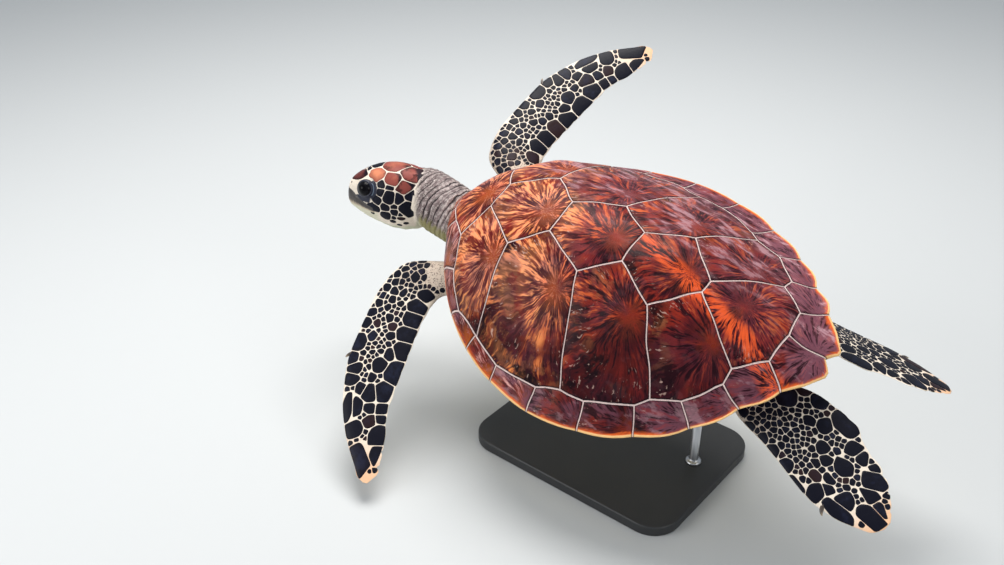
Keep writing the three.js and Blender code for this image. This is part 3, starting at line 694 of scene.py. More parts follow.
def build_plate(name, outline, growth, rim_points):
    is_rim = bool(rim_points)
    dense = even_outline(outline)
    bm = flat_net(dense)
    top = bmesh.ops.extrude_face_region(bm, geom=bm.faces[:], use_keep_orig=True)["geom"]
    top_verts = {v for v in top if isinstance(v, bmesh.types.BMVert)}
    is_top = [v in top_verts for v in bm.verts]
    plan = np.array([(v.co.x, v.co.y) for v in bm.verts])
    rim_lines = list(zip(rim_points, rim_points[1:]))
    edge_lines = list(zip(dense, dense[1:] + dense[:1]))
    rim = distance_to(plan, rim_lines)
    if is_rim:
        middle = [mix(a, b, 0.5) for a, b in edge_lines]
        off_rim = distance_to(np.array(middle), rim_lines) > OFF_RIM
        edge_lines = [line for line, keep in zip(edge_lines, off_rim) if keep]
    seam = distance_to(plan, edge_lines)
    growth_layer = bm.verts.layers.float_vector.new("growth")
    seam_layer = bm.verts.layers.float.new("seam")
    rim_layer = bm.verts.layers.float.new("rim")
    number = sum(ord(c) for c in name) % 23
    for v, on_top, d, r in zip(bm.verts, is_top, seam, rim):
        x, y = v.co.x, v.co.y
        v[growth_layer] = ((x - growth[0]) / 100, (y - growth[1]) / 100, number)
        v[seam_layer] = d
        v[rim_layer] = r
        dome = shell_top(x, y)
        roll = math.exp(-(r / RIM_ROLL[1]) ** 2)
        sink = SEAM_SINK * math.exp(-(d / SEAM_WIDTH) ** 2) + RIM_ROLL[0] * roll
        swell = PLATE_SWELL * (1 - math.exp(-d / SWELL_REACH)) * clamp(r / 10)
        if on_top:
            z = dome - sink + swell
        elif is_rim:
            z = min(rim_height(x) - RIM_EDGE + 0.8 * roll, dome - THINNEST_RIM)
        else:
            z = dome - PLATE_DEPTH
        v.co = (*sway_seam(x, y), z)
    bmesh.ops.recalc_face_normals(bm, faces=bm.faces)
    finish = margin_finish if is_rim else shell_finish
    return make_piece(bm, "scute_" + name, finish, [name])


faces = 0
for name, outline, growth, rim_points in plates:
    piece = build_plate(name, outline, growth, rim_points)
    faces += len(piece.data.polygons)
print("shell plates hold", faces, "faces")

# %% [markdown]
# ## The flesh: sizes
# Head, neck, limbs and tail are tables too. The head is described in parts of its own length, and a
# matrix sets it at the nape with its turn, so that its shape and its pose stay apart.

# %% Tables of the flesh
HEAD_LENGTH = 119
NAPE = Vector((638, -11, 35))
HEAD_YAW = 26
HEAD_PITCH = 11.5
HEAD_ROLL = 30
HEAD = [
    (-0.02, 0.25, 0.235, -0.44), (0.1, 0.305, 0.295, -0.48), (0.25, 0.345, 0.333, -0.5),
    (0.4, 0.35, 0.345, -0.485), (0.55, 0.325, 0.33, -0.44), (0.7, 0.275, 0.285, -0.39),
    (0.82, 0.215, 0.22, -0.335), (0.92, 0.155, 0.15, -0.285), (0.975, 0.11, 0.09, -0.25),
    (1, 0.06, 0.03, -0.21),
]
EYE = (0.72, 0.205, 0.045)
EYE_RADIUS = 12.8
NECK = [
    ((496, 0, -8), 80, 42), ((530, 0, 2), 52, 42), ((562, -2, 13), 42, 42),
    ((602, -6, 21), 43, 43), ((636, -9, 28), 42, 44), ((656, -3, 31), 36, 40),
]
TAIL = [((96, 0, -24), 16, 13), ((64, 0, -20), 12, 9), ((42, 0, -14), 8, 6), ((28, 0, -9), 3, 2.5)]
BELLY = [
    (34, 40, -14), (60, 66, -36), (110, 105, -56), (160, 140, -67), (205, 168, -73),
    (260, 186, -76), (320, 190, -77), (380, 176, -75), (425, 148, -71), (465, 116, -65),
    (500, 88, -58), (530, 66, -48),
]
BELLY_POWER = 2.8
FRONT_LIMB = [
    ((-36, -73), (17, -73), 24), ((-24, 6), (25, -11), 23), ((-7, 63), (45, 1), 17),
    ((56, 86), (84, 6), 10.5), ((134, 88), (143, 6), 6.5), ((196, 76), (202, 5), 5),
    ((252, 50), (249, -7), 4), ((291, 20), (288, -13), 2.6), ((302, 12), (300, -9), 1.9),
    ((307, 2), (306.5, -4), 1.2),
]
HIND_LIMB = [
    ((-44, 17), (-34, -33), 15), ((-6, 30), (-6, -47), 13), ((39, 28), (33, -66), 9),
    ((87, 30), (84, -73), 6), ((118, 31), (112, -63), 4.8), ((151, 24), (140, -60), 3.8),
    ((179, 10), (162, -52), 3), ((193, 0), (182, -38), 2.2), ((198, -13), (196, -24), 1.2),
]
LIMB_ARCH = 14
LIMBS = {
    "front_left": (FRONT_LIMB, 1, (550, 82, -18), (14.4, -8, 12.6), 1.02),
    "front_right": (FRONT_LIMB, -1, (543, -115, -6), (9, 6.5, 24), 1),
    "hind_left": (HIND_LIMB, 1, (53, 62, -31), (22, -11.5, -7.4), 0.975),
    "hind_right": (HIND_LIMB, -1, (72, -73, -21), (9, -22, -41), 1.005),
}
COAT_DEPTH = 0.6
head_to_body = (
    Matrix.Translation(NAPE)
    @ rotation(HEAD_YAW, "Z")
    @ rotation(-HEAD_PITCH, "Y")
    @ rotation(HEAD_ROLL, "X")
    @ Matrix.Scale(HEAD_LENGTH, 4)
)
body_to_head = head_to_body.inverted()
print("head is", HEAD_LENGTH, "mm long")

# %% [markdown]
# ## Tubes from a grid
# Every soft part is a tube of rings. A grid operator makes the net, a formula puts each corner in
# space, and merging the doubles welds the tube shut along its side and at its poles.

# %% Rings and tubes
def closed_tube(around, along, place):
    """A closed body: place(u, w) gives the point at u round the ring and w along the tube."""
    bm = bmesh.new()
    bmesh.ops.create_grid(bm, x_segments=around, y_segments=along, size=1)
    for v in bm.verts:
        u = round((v.co.x + 1) / 2 * around) / around
        w = round((v.co.y + 1) / 2 * along) / along
        v.co = place(u % 1, w)
    bmesh.ops.remove_doubles(bm, verts=bm.verts, dist=0.004)
    rims = [e for e in bm.edges if e.is_boundary]
    bmesh.ops.holes_fill(bm, edges=rims, sides=0)
    bmesh.ops.recalc_face_normals(bm, faces=bm.faces)
    return bm


def oval(u, half_across, up, down, roundness):
    """The point at u round an upright ring that reaches from down to up."""
    c = math.cos(2 * math.pi * u)
    s = math.sin(2 * math.pi * u)
    middle = (up + down) / 2
    across = half_across * math.copysign(abs(c) ** roundness, c)
    return across, middle + (up - down) / 2 * math.copysign(abs(s) ** roundness, s)


head_half = smooth(HEAD, 1)
head_top = smooth(HEAD, 2)
head_bottom = smooth(HEAD, 3)
HEAD_ROUNDNESS = 0.9
HEAD_FROM = -0.02
SNOUT_CAP = 0.90
SNOUT_BULGE = 0.012


def head_point(u, w):
    """A point of the bare head, in parts of the head's length."""
    shrink = 1
    x = lerp(HEAD_FROM, 1, math.sin(min(w / SNOUT_CAP, 1) * math.pi / 2))
    if w > SNOUT_CAP:
        cap = (w - SNOUT_CAP) / (1 - SNOUT_CAP)
        shrink = math.sqrt(max(0, 1 - cap * cap))
        x = 1 + SNOUT_BULGE * (1 - shrink)
    thin = COAT_DEPTH / HEAD_LENGTH
    up = head_top(x) - thin
    down = head_bottom(x) + thin
    y, z = oval(u, head_half(x) - thin, up, down, HEAD_ROUNDNESS)
    middle = (up + down) / 2
    return Vector((x, y * shrink, middle + (z - middle) * shrink))


def tube_place(table, inside):
    """A tube along a table of centres, half widths and half heights, some way inside them."""
    rows = [(i, *centre, across, up) for i, (centre, across, up) in enumerate(table)]
    column = [smooth(rows, c + 1) for c in range(5)]
    last = len(rows) - 1

    def place(u, w):
        t = w * last
        centre = Vector([column[c](t) for c in range(3)])
        ahead = Vector([column[c](min(t + 0.02, last)) for c in range(3)])
        behind = Vector([column[c](max(t - 0.02, 0)) for c in range(3)])
        way = (ahead - behind).normalized()
        across = Vector((0, 0, 1)).cross(way).normalized()
        up = way.cross(across)
        a, b = oval(u, column[3](t) - inside, column[4](t) - inside, inside - column[4](t), 1)
        return centre + across * a + up * b

    return place


belly_half = smooth(BELLY, 1)
belly_low = smooth(BELLY, 2)
FLESH_UNDER_BELLY = 7
TRUNK_FROM = 40
TRUNK_TO = 524
TRUNK_ROUND = 0.16
UNDER_RIM = 4.8


def belly_point(x, q, side, off, top):
    """A point of the belly's curve: q runs from 0 at the keel to 1 under the shell's rim."""
    angle = q * math.pi / 2
    y = (belly_half(x) - off) * math.sin(angle) ** (2 / BELLY_POWER)
    z = top - (top - belly_low(x) - off) * math.cos(angle) ** (2 / BELLY_POWER)
    return Vector((x, side * y, z))


def trunk_point(u, w):
    """The trunk fills the shell: flat on top, bellied below, and rounded off at both ends."""
    x = lerp(TRUNK_FROM, TRUNK_TO, w)
    top = rim_height(x) - UNDER_RIM
    near_end = min(w, 1 - w) / TRUNK_ROUND
    k = math.sqrt(max(0.0, 1 - (1 - min(near_end, 1)) ** 2))
    full = belly_half(x) - FLESH_UNDER_BELLY
    if u < 0.4:
        y = full * (1 - u / 0.2)
        z = top
    else:
        q = abs(u - 0.7) / 0.3
        side = -1 if u < 0.7 else 1
        p = belly_point(x, q, side, FLESH_UNDER_BELLY, top)
        y, z = p.y, p.z
    return Vector((x, y * (0.45 + 0.55 * k), top + (z - top) * k - 2 * (1 - k)))


# %% [markdown]
# ## Flippers
# A front flipper is a long blade, thick along its leading edge, that droops a little to its tip; a
# hind one is a broad rudder. Both are rows of leading and trailing points in the limb's own plane.

# %% Limb shapes
SCALLOP_PITCH = 25
SCALLOP_DEPTH = 1.5
ARCH_LENGTH = 300
NOTCH_WIDTH = 2.4
THINNEST = 0.55
FINGER_NOTCHES = {"front": ((283, 4.5), (262, 3.0)), "hind": ((168, 3.5), (150, 2.5), (186, 2.5))}


class Limb:
    """A flipper's own plane: s runs out along it, c towards its leading edge, n out of it."""

    def __init__(self, name):
        rows, self.side, root, turn, self.size = LIMBS[name]
        self.kind = name.split("_")[0]
        self.root = Vector(root)
        flat = [(i, *lead, *trail, thick) for i, (lead, trail, thick) in enumerate(rows)]
        self.column = [smooth(flat, c + 1) for c in range(5)]
        self.last = len(rows) - 1
        self.lead_c = smooth([lead for lead, _, _ in rows], 1)
        self.trail_c = smooth([trail for _, trail, _ in rows], 1)
        self.length = rows[-1][0][0]
        sweep, lift, twist = [math.radians(a) for a in turn]
        if self.kind == "hind":
            flat_way = Vector((-math.cos(sweep), self.side * math.sin(sweep), 0))
            lead = Vector((0, self.side, 0))
        else:
            flat_way = Vector((-math.sin(sweep), self.side * math.cos(sweep), 0))
            lead = Vector((1, 0, 0))
        self.along = flat_way * math.cos(lift) + Vector((0, 0, math.sin(lift)))
        lead = (lead - self.along * lead.dot(self.along)).normalized()
        up = self.along.cross(lead)
        if up.z < 0:
            up = -up
        self.lead = lead * math.cos(twist) + up * math.sin(twist)
        self.up = up * math.cos(twist) - lead * math.sin(twist)

    def point(self, s, c, n):
        arch = LIMB_ARCH * max(0, s / ARCH_LENGTH) ** 2 if self.kind == "front" else 0
        flat = self.along * (s * self.size) + self.lead * (c * self.size)
        return self.root + flat + self.up * (n - arch)

    def place(self, u, w):
        t = w * self.last
        lead_s, lead_c, trail_s, trail_c, thick = [column(t) for column in self.column]
        free = float(ease(trail_s, 30, 60))
        trail_c += SCALLOP_DEPTH * free * (0.5 - abs(math.sin(math.pi * trail_s / SCALLOP_PITCH)))
        for notch, depth in FINGER_NOTCHES[self.kind]:
            trail_c += depth * math.exp(-(((trail_s - notch) / NOTCH_WIDTH) ** 2))
        angle = 2 * math.pi * u
        lean = (1 + math.cos(angle)) / 2
        s = lerp(trail_s, lead_s, lean)
        c = lerp(trail_c, lead_c, lean)
        depth = max(thick * lerp(0.55, 1, lean) - COAT_DEPTH, THINNEST)
        return self.point(s, c, depth * math.sin(angle))


limbs = {name: Limb(name) for name in LIMBS}
print("front flipper", limbs["front_left"].length, "mm from the shoulder")

# %% [markdown]
# ## One skin
# A real animal has no seams where its parts meet. The tubes are joined by a boolean union, which
# keeps the thin flipper tips that a voxel remesh would lose, and then the welds are relaxed.

# %% Join the tubes
HEAD_NET = (150, 100)
NECK_NET = (132, 76)
FRONT_NET = (76, 136)
HIND_NET = (84, 84)
TRUNK_NET = (90, 84)
TAIL_NET = (32, 26)
WELD_REACH = 7.0
WELD_PASSES = 14

parts = {
    "trunk": closed_tube(*TRUNK_NET, trunk_point),
    "neck": closed_tube(*NECK_NET, tube_place(NECK, COAT_DEPTH)),
    "head": closed_tube(*HEAD_NET, lambda u, w: head_to_body @ head_point(u, w)),
    "tail": closed_tube(*TAIL_NET, tube_place(TAIL, COAT_DEPTH)),
}
for name, limb in limbs.items():
    net = FRONT_NET if limb.kind == "front" else HIND_NET
    parts[name] = closed_tube(*net, limb.place)


def scratch_object(bm, name):
    mesh = bpy.data.meshes.new(name)
    bm.to_mesh(mesh)
    return add_object(name, mesh)


def evaluated_mesh(obj):
    graph = bpy.context.evaluated_depsgraph_get()
    return bpy.data.meshes.new_from_object(obj.evaluated_get(graph))


scratch = {name: scratch_object(bm, "scratch_" + name) for name, bm in parts.items()}
body = scratch["trunk"]
for name in list(scratch)[1:]:
    union = body.modifiers.new(name, "BOOLEAN")
    union.operation = "UNION"
    union.solver = "MANIFOLD"
    union.object = scratch[name]
skin = bmesh.new()
skin.from_mesh(evaluated_mesh(body))
for made in scratch.values():
    bpy.data.objects.remove(made)
trees = {name: BVHTree.FromBMesh(bm) for name, bm in parts.items()}
print("skin after the union:", len(skin.verts), "points")


def near_weld(point):
    """True if a point of the skin lies close to two of the tubes."""
    close = [t for t in trees.values() if t.find_nearest(point, WELD_REACH)[0] is not None]
    return len(close) > 1


def relax(bm, verts, passes=1):
    for _ in range(passes):
        bmesh.ops.smooth_vert(
            bm, verts=verts, factor=0.5, use_axis_x=True, use_axis_y=True, use_axis_z=True)


bmesh.ops.remove_doubles(skin, verts=skin.verts, dist=0.05)
weld = [v for v in skin.verts if near_weld(v.co)]
relax(skin, weld, WELD_PASSES)
print(len(weld), "points relaxed round the welds")

# %% [markdown]
# ## Finer net where it matters
# Lids need a net finer than a millimetre. Only the faces round each eye are divided again, so the
# rest of the skin stays light.

# %% Divide the skin round the eyes
EYE_ZONES = (22.5, 16.0)
eyes = {side: head_to_body @ Vector((EYE[0], side * EYE[1], EYE[2])) for side in (1, -1)}
for zone in EYE_ZONES:
    coarse = set()
    for centre in eyes.values():
        coarse |= {e for e in skin.edges if (e.verts[0].co - centre).length < zone}
    bmesh.ops.subdivide_edges(skin, edges=list(coarse), cuts=1, use_grid_fill=True)
bmesh.ops.triangulate(skin, faces=[f for f in skin.faces if len(f.verts) > 4])
print("skin has", len(skin.verts), "points")

# %% [markdown]
# ## Sculpting by formula
# Lids, nostrils, the mouth and the folds of the neck are moves of the skin's points. The points go
# into one array, each feature adds its own move along the surface, and the array goes back. First
# the flesh is pressed down wherever it would poke through the shell.

# %% Sculpt the skin
LID_OPENING = (1.14, 1.02)
LID_LIFT = 0.9
LID_RIM = 1.5
BEHIND_EYE = 2.2
EYE_LOOK = (0.26, 0.93, 0.22)
# how far the lids reach: mm from the eye's centre, and radians from its line of sight
LID_SPAN = (26, 1.9)
NOSTRILS = [(0.952, side * 0.090, 0.072) for side in (1, -1)]
MOUTH = [(0.3, -0.3), (0.6, -0.225), (0.84, -0.19), (1.1, -0.185)]
mouth_line = smooth(MOUTH, 1)
WRINKLE_PITCH = 9.5
WRINKLE_DEPTH = 1.7
# height or depth in mm, then how far from the nostril or the mouth's line, and how wide
NOSTRIL_PIT = (1.8, 0, 1.6)
NOSTRIL_RIM = (0.5, 2.9, 1.1)
MOUTH_GROOVE = (1.5, 0, 1.3)
# the brow's place and size along the head and up it, in head lengths
BROW = (0.70, 0.165)
BROW_SIZE = (0.11, 0.045)
HEAD_STARTS = 600
PRESS_REACH = 25


def near(value, middle, width):
    """1 at the middle and nearly 0 a few widths away; value may be an array."""
    return np.exp(-((value - middle) / width) ** 2)


def skin_arrays():
    skin.normal_update()
    place = np.array([v.co for v in skin.verts])
    normal = np.array([v.normal for v in skin.verts])
    return place, normal


def in_head(points):
    turn = np.array(body_to_head)
    return points @ turn[:3, :3].T + turn[:3, 3]


def head_way(x, y, z, side=1):
    """A direction given in the head's own frame; side -1 mirrors it to the right."""
    return (head_to_body.to_3x3() @ Vector((x, side * y, z))).normalized()


def vector_noise(points, size, seed):
    return np.array([noise.noise(Vector(p) / size + Vector((seed, 0, 0))) for p in points])


def move_skin(points):
    for v, p in zip(skin.verts, points):
        v.co = p


place, normal = skin_arrays()
outline_left = [outline_point(x, 0) for x in np.linspace(SHELL_FRONT, SHELL_REAR, 90)]
outline_right = mirrored(outline_left)
shell_lines = [*zip(outline_left, outline_left[1:]), *zip(outline_right, outline_right[1:])]
by_shell = np.where((place[:, 0] > -45) & (place[:, 0] < HEAD_STARTS))[0]
around = place[by_shell]
station = np.clip(around[:, 0], SHELL_REAR, SHELL_FRONT)
off_shell = distance_to(around[:, :2], shell_lines)
half = np.array([half_width(x) for x in station])
inside = (np.abs(around[:, 1]) < half) & (around[:, 0] < SHELL_FRONT) & (around[:, 0] > SHELL_REAR)
off_shell[inside] = 0
roof = np.array([rim_height(x) for x in station]) - UNDER_RIM + off_shell * 1.3
too_high = around[:, 2] - roof
soft = np.where(too_high > 0, too_high, 0) + 1.5 * np.exp(-np.abs(too_high) / 2.0)
around[:, 2] = around[:, 2] - np.where(off_shell < PRESS_REACH, soft, 0)
place[by_shell] = around
move_skin(place)

place, normal = skin_arrays()
head = in_head(place)
on_head = (head[:, 0] > -0.1) & (np.linalg.norm(head - (0.45, 0, -0.05), axis=1) < 0.9)
on_head &= place[:, 0] > HEAD_STARTS
move = np.zeros(len(place))
lid_dark_and_nostril_shade = np.zeros(len(place))
for nostril in NOSTRILS:
    reach = np.linalg.norm(head - nostril, axis=1) * HEAD_LENGTH
    move += on_head * NOSTRIL_RIM[0] * near(reach, *NOSTRIL_RIM[1:])
    move -= on_head * NOSTRIL_PIT[0] * near(reach, *NOSTRIL_PIT[1:])
    # painted shade: a dark spot in each nostril pit, standing for the shade inside the opening; the
    # lids' own dark colour is added below
    lid_dark_and_nostril_shade = np.maximum(lid_dark_and_nostril_shade, 0.6 * on_head * near(reach, 0, 2.2))
mouth_z = np.array([mouth_line(clamp(x, 0.3, 1.1)) for x in head[:, 0]])
off_mouth = (head[:, 2] - mouth_z) * HEAD_LENGTH
in_mouth = ease(head[:, 0], 0.42, 0.56) * on_head
move -= MOUTH_GROOVE[0] * in_mouth * near(off_mouth, *MOUTH_GROOVE[1:])
move -= 0.5 * in_mouth * ease(-off_mouth, 0, 2) * ease(off_mouth, -16, -6)
brow = near(head[:, 0], BROW[0], BROW_SIZE[0]) * near(head[:, 2], BROW[1], BROW_SIZE[1])
move += 1.3 * brow * on_head
throat_fold = np.sin(head[:, 0] * 42 + head[:, 2] * 5) * ease(-head[:, 2], 0.33, 0.42)
move += 0.35 * throat_fold * on_head * ease(-head[:, 0], -0.6, -0.3)

on_neck = ease(place[:, 0], 548, 566) * ease(-head[:, 0], -0.10, 0.02)
off_axis = np.hypot(place[:, 1] + 6, place[:, 2] - 20)
on_neck = on_neck * ease(-off_axis, -66, -50)
upper = ease(place[:, 2], -8, 22)
warp = vector_noise(place, 30, 3.1) * 5.0 + vector_noise(place, 11, 8.2) * 1.3
tilt = place[:, 0] * 0.97 + place[:, 2] * 0.30 - place[:, 1] * 0.16
fold_phase = (tilt + warp) / WRINKLE_PITCH * math.pi
fold = near(np.sin(fold_phase), 0, 0.5)
strength = np.clip(0.75 + 0.6 * vector_noise(place, 26, 5.0), 0.25, 1)
move -= WRINKLE_DEPTH * fold * strength * on_neck * (0.35 + 0.65 * upper)
move += 0.7 * on_neck * (1 - fold)
place = place + normal * move[:, None]

for side, centre in eyes.items():
    look = head_way(*EYE_LOOK, side)
    level = head_way(1, 0, 0.12)
    level = (level - look * level.dot(look)).normalized()
    rise = look.cross(level)
    away = place - np.array(centre)
    reach = np.linalg.norm(away, axis=1)
    way = away / np.maximum(reach, 1e-6)[:, None]
    forward = way @ np.array(look)
    a = way @ np.array(level)
    b = way @ np.array(rise)
    angle = np.arccos(np.clip(forward, -1, 1))
    spin = np.arctan2(b, a)
    opening = 1 / np.sqrt((np.cos(spin) / LID_OPENING[0]) ** 2 + (np.sin(spin) / LID_OPENING[1]) ** 2)
    beyond = (angle - opening) * EYE_RADIUS
    mine = (reach < LID_SPAN[0]) & (angle < LID_SPAN[1])
    lid = EYE_RADIUS + LID_LIFT + (LID_RIM - LID_LIFT) * near(beyond, 2.2, 1.2)
    lid -= 0.5 * near(beyond, 4.3, 0.7)
    natural = np.where(reach > 0, reach, 1)
    target = lerp(lid, natural, ease(beyond, 3.5, 10.5))
    target = lerp(EYE_RADIUS - BEHIND_EYE, target, ease(beyond, -0.35, 0.35))
    place = np.where(mine[:, None], np.array(centre) + way * target[:, None], place)
    lid_dark_and_nostril_shade = np.maximum(lid_dark_and_nostril_shade, mine * (1 - ease(beyond, 3.0, 6.5)))
move_skin(place)
print("deepest fold", round(float(move.min()), 2), "mm")

# %% [markdown]
# ## Marks for the paint
# The finish has to know where the folds, the lids and the pale underside are. Each is a number per
# point, stored as an attribute, so that the colours follow the sculpture exactly.

# %% Store the marks on the skin
loose = [e for e in skin.edges if e.is_boundary]
bmesh.ops.holes_fill(skin, edges=loose, sides=0)
bmesh.ops.triangulate(skin, faces=[f for f in skin.faces if len(f.verts) > 4])
bmesh.ops.recalc_face_normals(skin, faces=skin.faces)
place, normal = skin_arrays()
head = in_head(place)
past_nape = ease(head[:, 0], -0.02, 0.10) * (place[:, 0] > HEAD_STARTS)
at_shoulder = np.zeros(len(place))
limb_tip = np.zeros(len(place))
off_trunk = ease(np.abs(place[:, 1]), 30, 70)
for limb in limbs.values():
    away = place - np.array(limb.root)
    s = away @ np.array(limb.along) / limb.size
    side = place[:, 1] * limb.side > 0
    ends = (place[:, 0] > 300) == (limb.kind == "front")
    mine = side & ends & (s > -60)
    at_shoulder = np.maximum(at_shoulder, mine * (1 - ease(s, 18, 48)) * off_trunk)
    limb_tip = np.maximum(limb_tip, mine * ease(s, 0.78 * limb.length, 0.98 * limb.length))
neck_base = ease(place[:, 0], 500, 560) * ease(-head[:, 0], -0.10, 0.02)
under_eye = ((head[:, 0] - 0.76) / 0.15) ** 2 + ((head[:, 2] + 0.080) / 0.045) ** 2
marks = {
    "fold": strength,
    "phase": fold_phase,
    "neck": neck_base * ease(-off_axis, -84, -58),
    "face": past_nape,
    "lid": np.maximum(lid_dark_and_nostril_shade, 0.7 * past_nape * np.exp(-under_eye ** 2)),
    "shoulder": at_shoulder * (1 - past_nape),
    "tip": limb_tip,
    "under": ease(-normal[:, 2], 0.05 - 0.60 * on_neck, 0.6 - 0.40 * on_neck),
    "nape": on_neck * ease(head[:, 0], -0.34, -0.12),
    "jaw": past_nape * ease(-off_mouth, 0.5, 2.5) * ease(head[:, 0], 0.5, 0.6),
}
for name, values in marks.items():
    layer = skin.verts.layers.float.new(name)
    for v, value in zip(skin.verts, values):
        v[layer] = float(value)
skin_tree = BVHTree.FromBMesh(skin)
odd_edges = [e for e in skin.edges if not e.is_manifold]
print("skin faces", len(skin.faces), "edges without two faces", len(odd_edges))

# %% [markdown]
# ## The skin's finish
# Between the scales the skin is cream. On the neck it is a mottled grey with painted shade in its folds
# and on its lower side, and below it fades to olive and white, as in most animals that swim near the
# surface. The lids are as dark as the eye, with a blue-grey rim, and the nostril pits are painted dark
# as shade.

# %% Finish of the skin
CREAM_SKIN = (0.80, 0.71, 0.60)
NECK_GREY = (0.200, 0.145, 0.145)
NECK_LIGHT = (0.500, 0.430, 0.410)
FOLD_SHADE = (0.014, 0.008, 0.011)
DARK_GRANULE_AND_SHADE = (0.090, 0.064, 0.060)
OLIVE_SKIN = (0.290, 0.270, 0.085)
THROAT_WHITE = (0.58, 0.58, 0.42)
BEIGE_SKIN = (0.50, 0.40, 0.32)
LID_NAVY = (0.012, 0.015, 0.034)
LID_RING = (0.16, 0.22, 0.30)
TIP_PEACH = (0.80, 0.42, 0.20)


def soft_skin():
    f = Finish("skin_soft", Specular_IOR_Level=0.4)
    place = f.place()
    broad = f.noise(place, 28, 3)
    grain = f.noise(place, 170, 4, 0.65)
    pores = f.cells(place, 330)
    colour = f.blend(f.rise(grain, 0.35, 0.75) * 0.35, CREAM_SKIN, BEIGE_SKIN)
    neck_tone = f.blend(f.rise(grain, 0.38, 0.66), NECK_GREY, NECK_LIGHT)
    low = f.attribute("under")
    neck = f.attribute("neck")
    colour = f.blend(neck, colour, neck_tone)
    crumple = f.noise(f.stretch(place, (1.0, 1.5, 1.0)), 120, 4, 0.7, 0.6)
    wave = f.attribute("phase") + (crumple - 0.5) * 1.5
    crease = wave.math("SINE").math("ABSOLUTE")
    strength = f.attribute("fold")
    fold = f.rise(crease + (1 - strength) * 0.5, 0.66, 0.20)
    fine = (wave * 2.6 + crumple * 5).math("SINE")
    fold = fold + f.rise(fine, 0.25, 0.95) * 0.45
    flank = f.rise(low, 0.9, 0.2)
    # painted shade in the neck's folds, strongest where the skin faces up or sideways
    colour = f.blend(neck * fold * (flank * 0.8 + 0.15), colour, FOLD_SHADE)
    # painted shade: the lower side of the neck is darkened; elsewhere this dark colour is the granules'
    # own
    colour = f.blend(neck * f.rise(low, 0.0, 0.4) * 0.35, colour, DARK_GRANULE_AND_SHADE)
    granules = f.cells(place, 430)
    nape = f.attribute("nape")
    dots = f.rise(granules, 0.52, 0.30) * f.rise(grain, 0.40, 0.56)
    colour = f.blend(nape * dots * flank * 0.85, colour, DARK_GRANULE_AND_SHADE)
    shoulder = f.attribute("shoulder")
    colour = f.blend(shoulder * 0.7, colour, BEIGE_SKIN)
    colour = f.blend(shoulder * dots * 0.85, colour, DARK_GRANULE_AND_SHADE)
    colour = f.blend(f.rise(low, 0.0, 0.6) * neck * 0.8, colour, OLIVE_SKIN)
    face = f.attribute("face")
    colour = f.blend(face * f.rise(low + (broad - 0.5) * 0.3, 0.05, 0.5), colour, THROAT_WHITE)
    colour = f.blend(f.attribute("jaw") * 0.7, colour, THROAT_WHITE)
    colour = f.blend(f.attribute("tip") * 0.75, colour, TIP_PEACH)
    lid = f.attribute("lid")
    ring = f.rise(lid, 0.78, 0.9) * f.rise(lid, 1.0, 0.93)
    colour = f.blend(f.rise(lid + (grain - 0.5) * 0.08, 0.25, 0.45), colour, LID_NAVY)
    colour = f.blend(ring * 0.8, colour, LID_RING)
    roughness = 0.5 + grain * 0.2 - lid * 0.2
    height = crumple * (neck + shoulder) * 1.3 - neck * fold + grain * 0.35 + pores * 0.12
    height = height - granules * (nape + shoulder) * 0.9
    return f.paint(Base_Color=colour, Roughness=roughness, height=(height, 0.0009))


skin_finish = soft_skin()
print("skin finish has", len(skin_finish.node_tree.nodes), "nodes")

# %% [markdown]
# ## Scales
# A sea turtle's head and flippers are clad in flat horny scales with a pale line of skin between
# them. Big ones have fixed places: we list them by where they lie on the part and how long and wide
# they are. The small ones fill what is left, at random but always the same.

# %% One scale's place
HALF_GAP = 0.34
HIND_HALF_GAP = 0.14
SPARE = 1.55


class Scale:
    """A scale's place on the skin, its own two directions and its half sizes in mm."""

    def __init__(self, at, out, along, size, warm, pale, root):
        self.at = at
        self.out = out.normalized()
        self.along = (along - self.out * along.dot(self.out)).normalized()
        self.across = self.out.cross(self.along)
        self.half = (size[0] / 2, size[1] / 2)
        self.warm = warm
        self.pale = pale
        self.root = root
        self.walls = []

    def reach(self, way):
        return math.hypot(self.half[0] * way.dot(self.along), self.half[1] * way.dot(self.across))

    def size(self):
        return max(self.half)


def set_walls(scales, blockers=(), half_gap=HALF_GAP):
    """Between two neighbours stands a plane, nearer to the smaller one; both are cut by it."""
    for one in scales:
        for other in [*scales, *blockers]:
            if other is one or other.pale != one.pale or one.out.dot(other.out) < 0.1:
                continue
            way = other.at - one.at
            apart = way.length
            if apart > (one.size() + other.size()) * SPARE + 3 or apart < 0.1:
                continue
            way.normalize()
            own = one.reach(way) + 0.4
            theirs = other.reach(way) + 0.4
            at = one.at + way * (apart * own / (own + theirs) - half_gap)
            one.walls.append((at, way))


# %% [markdown]
# ## Building a scale
# A scale starts as a flat oval on the skin's tangent plane, is cut by the planes towards its
# neighbours, and has its corners rounded. An extrusion keeps the underside, and a few rings dome the
# top. Every point then goes down to the nearest skin and up again by its ring's height. The baking
# map gives each scale a small patch of its own, placed as the scale is on the unrolled skin.

# %% Build one scale and join many
SCALE_MARKS = ("middle", "tone", "warm", "pale", "back")
SIDES = 18
TOUCH = 0.05
LEAST_AREA = 5
EDGE_COUNT = 22
STEP_RANGE = (1.2, 3.0)
# share of the outline kept and height over the skin, from the rim to the middle
RINGS = [(1.0, -0.08), (0.92, 0.24), (0.74, 0.32), (0.38, 0.36)]
MORE_RINGS = [(1.0, -0.08), (0.95, 0.26), (0.84, 0.34), (0.66, 0.40), (0.46, 0.42), (0.24, 0.44)]
WIDE_SCALE = 17
RIM_STEP = 0.6
UNDERSIDE = -0.75
PATCH = 0.0014


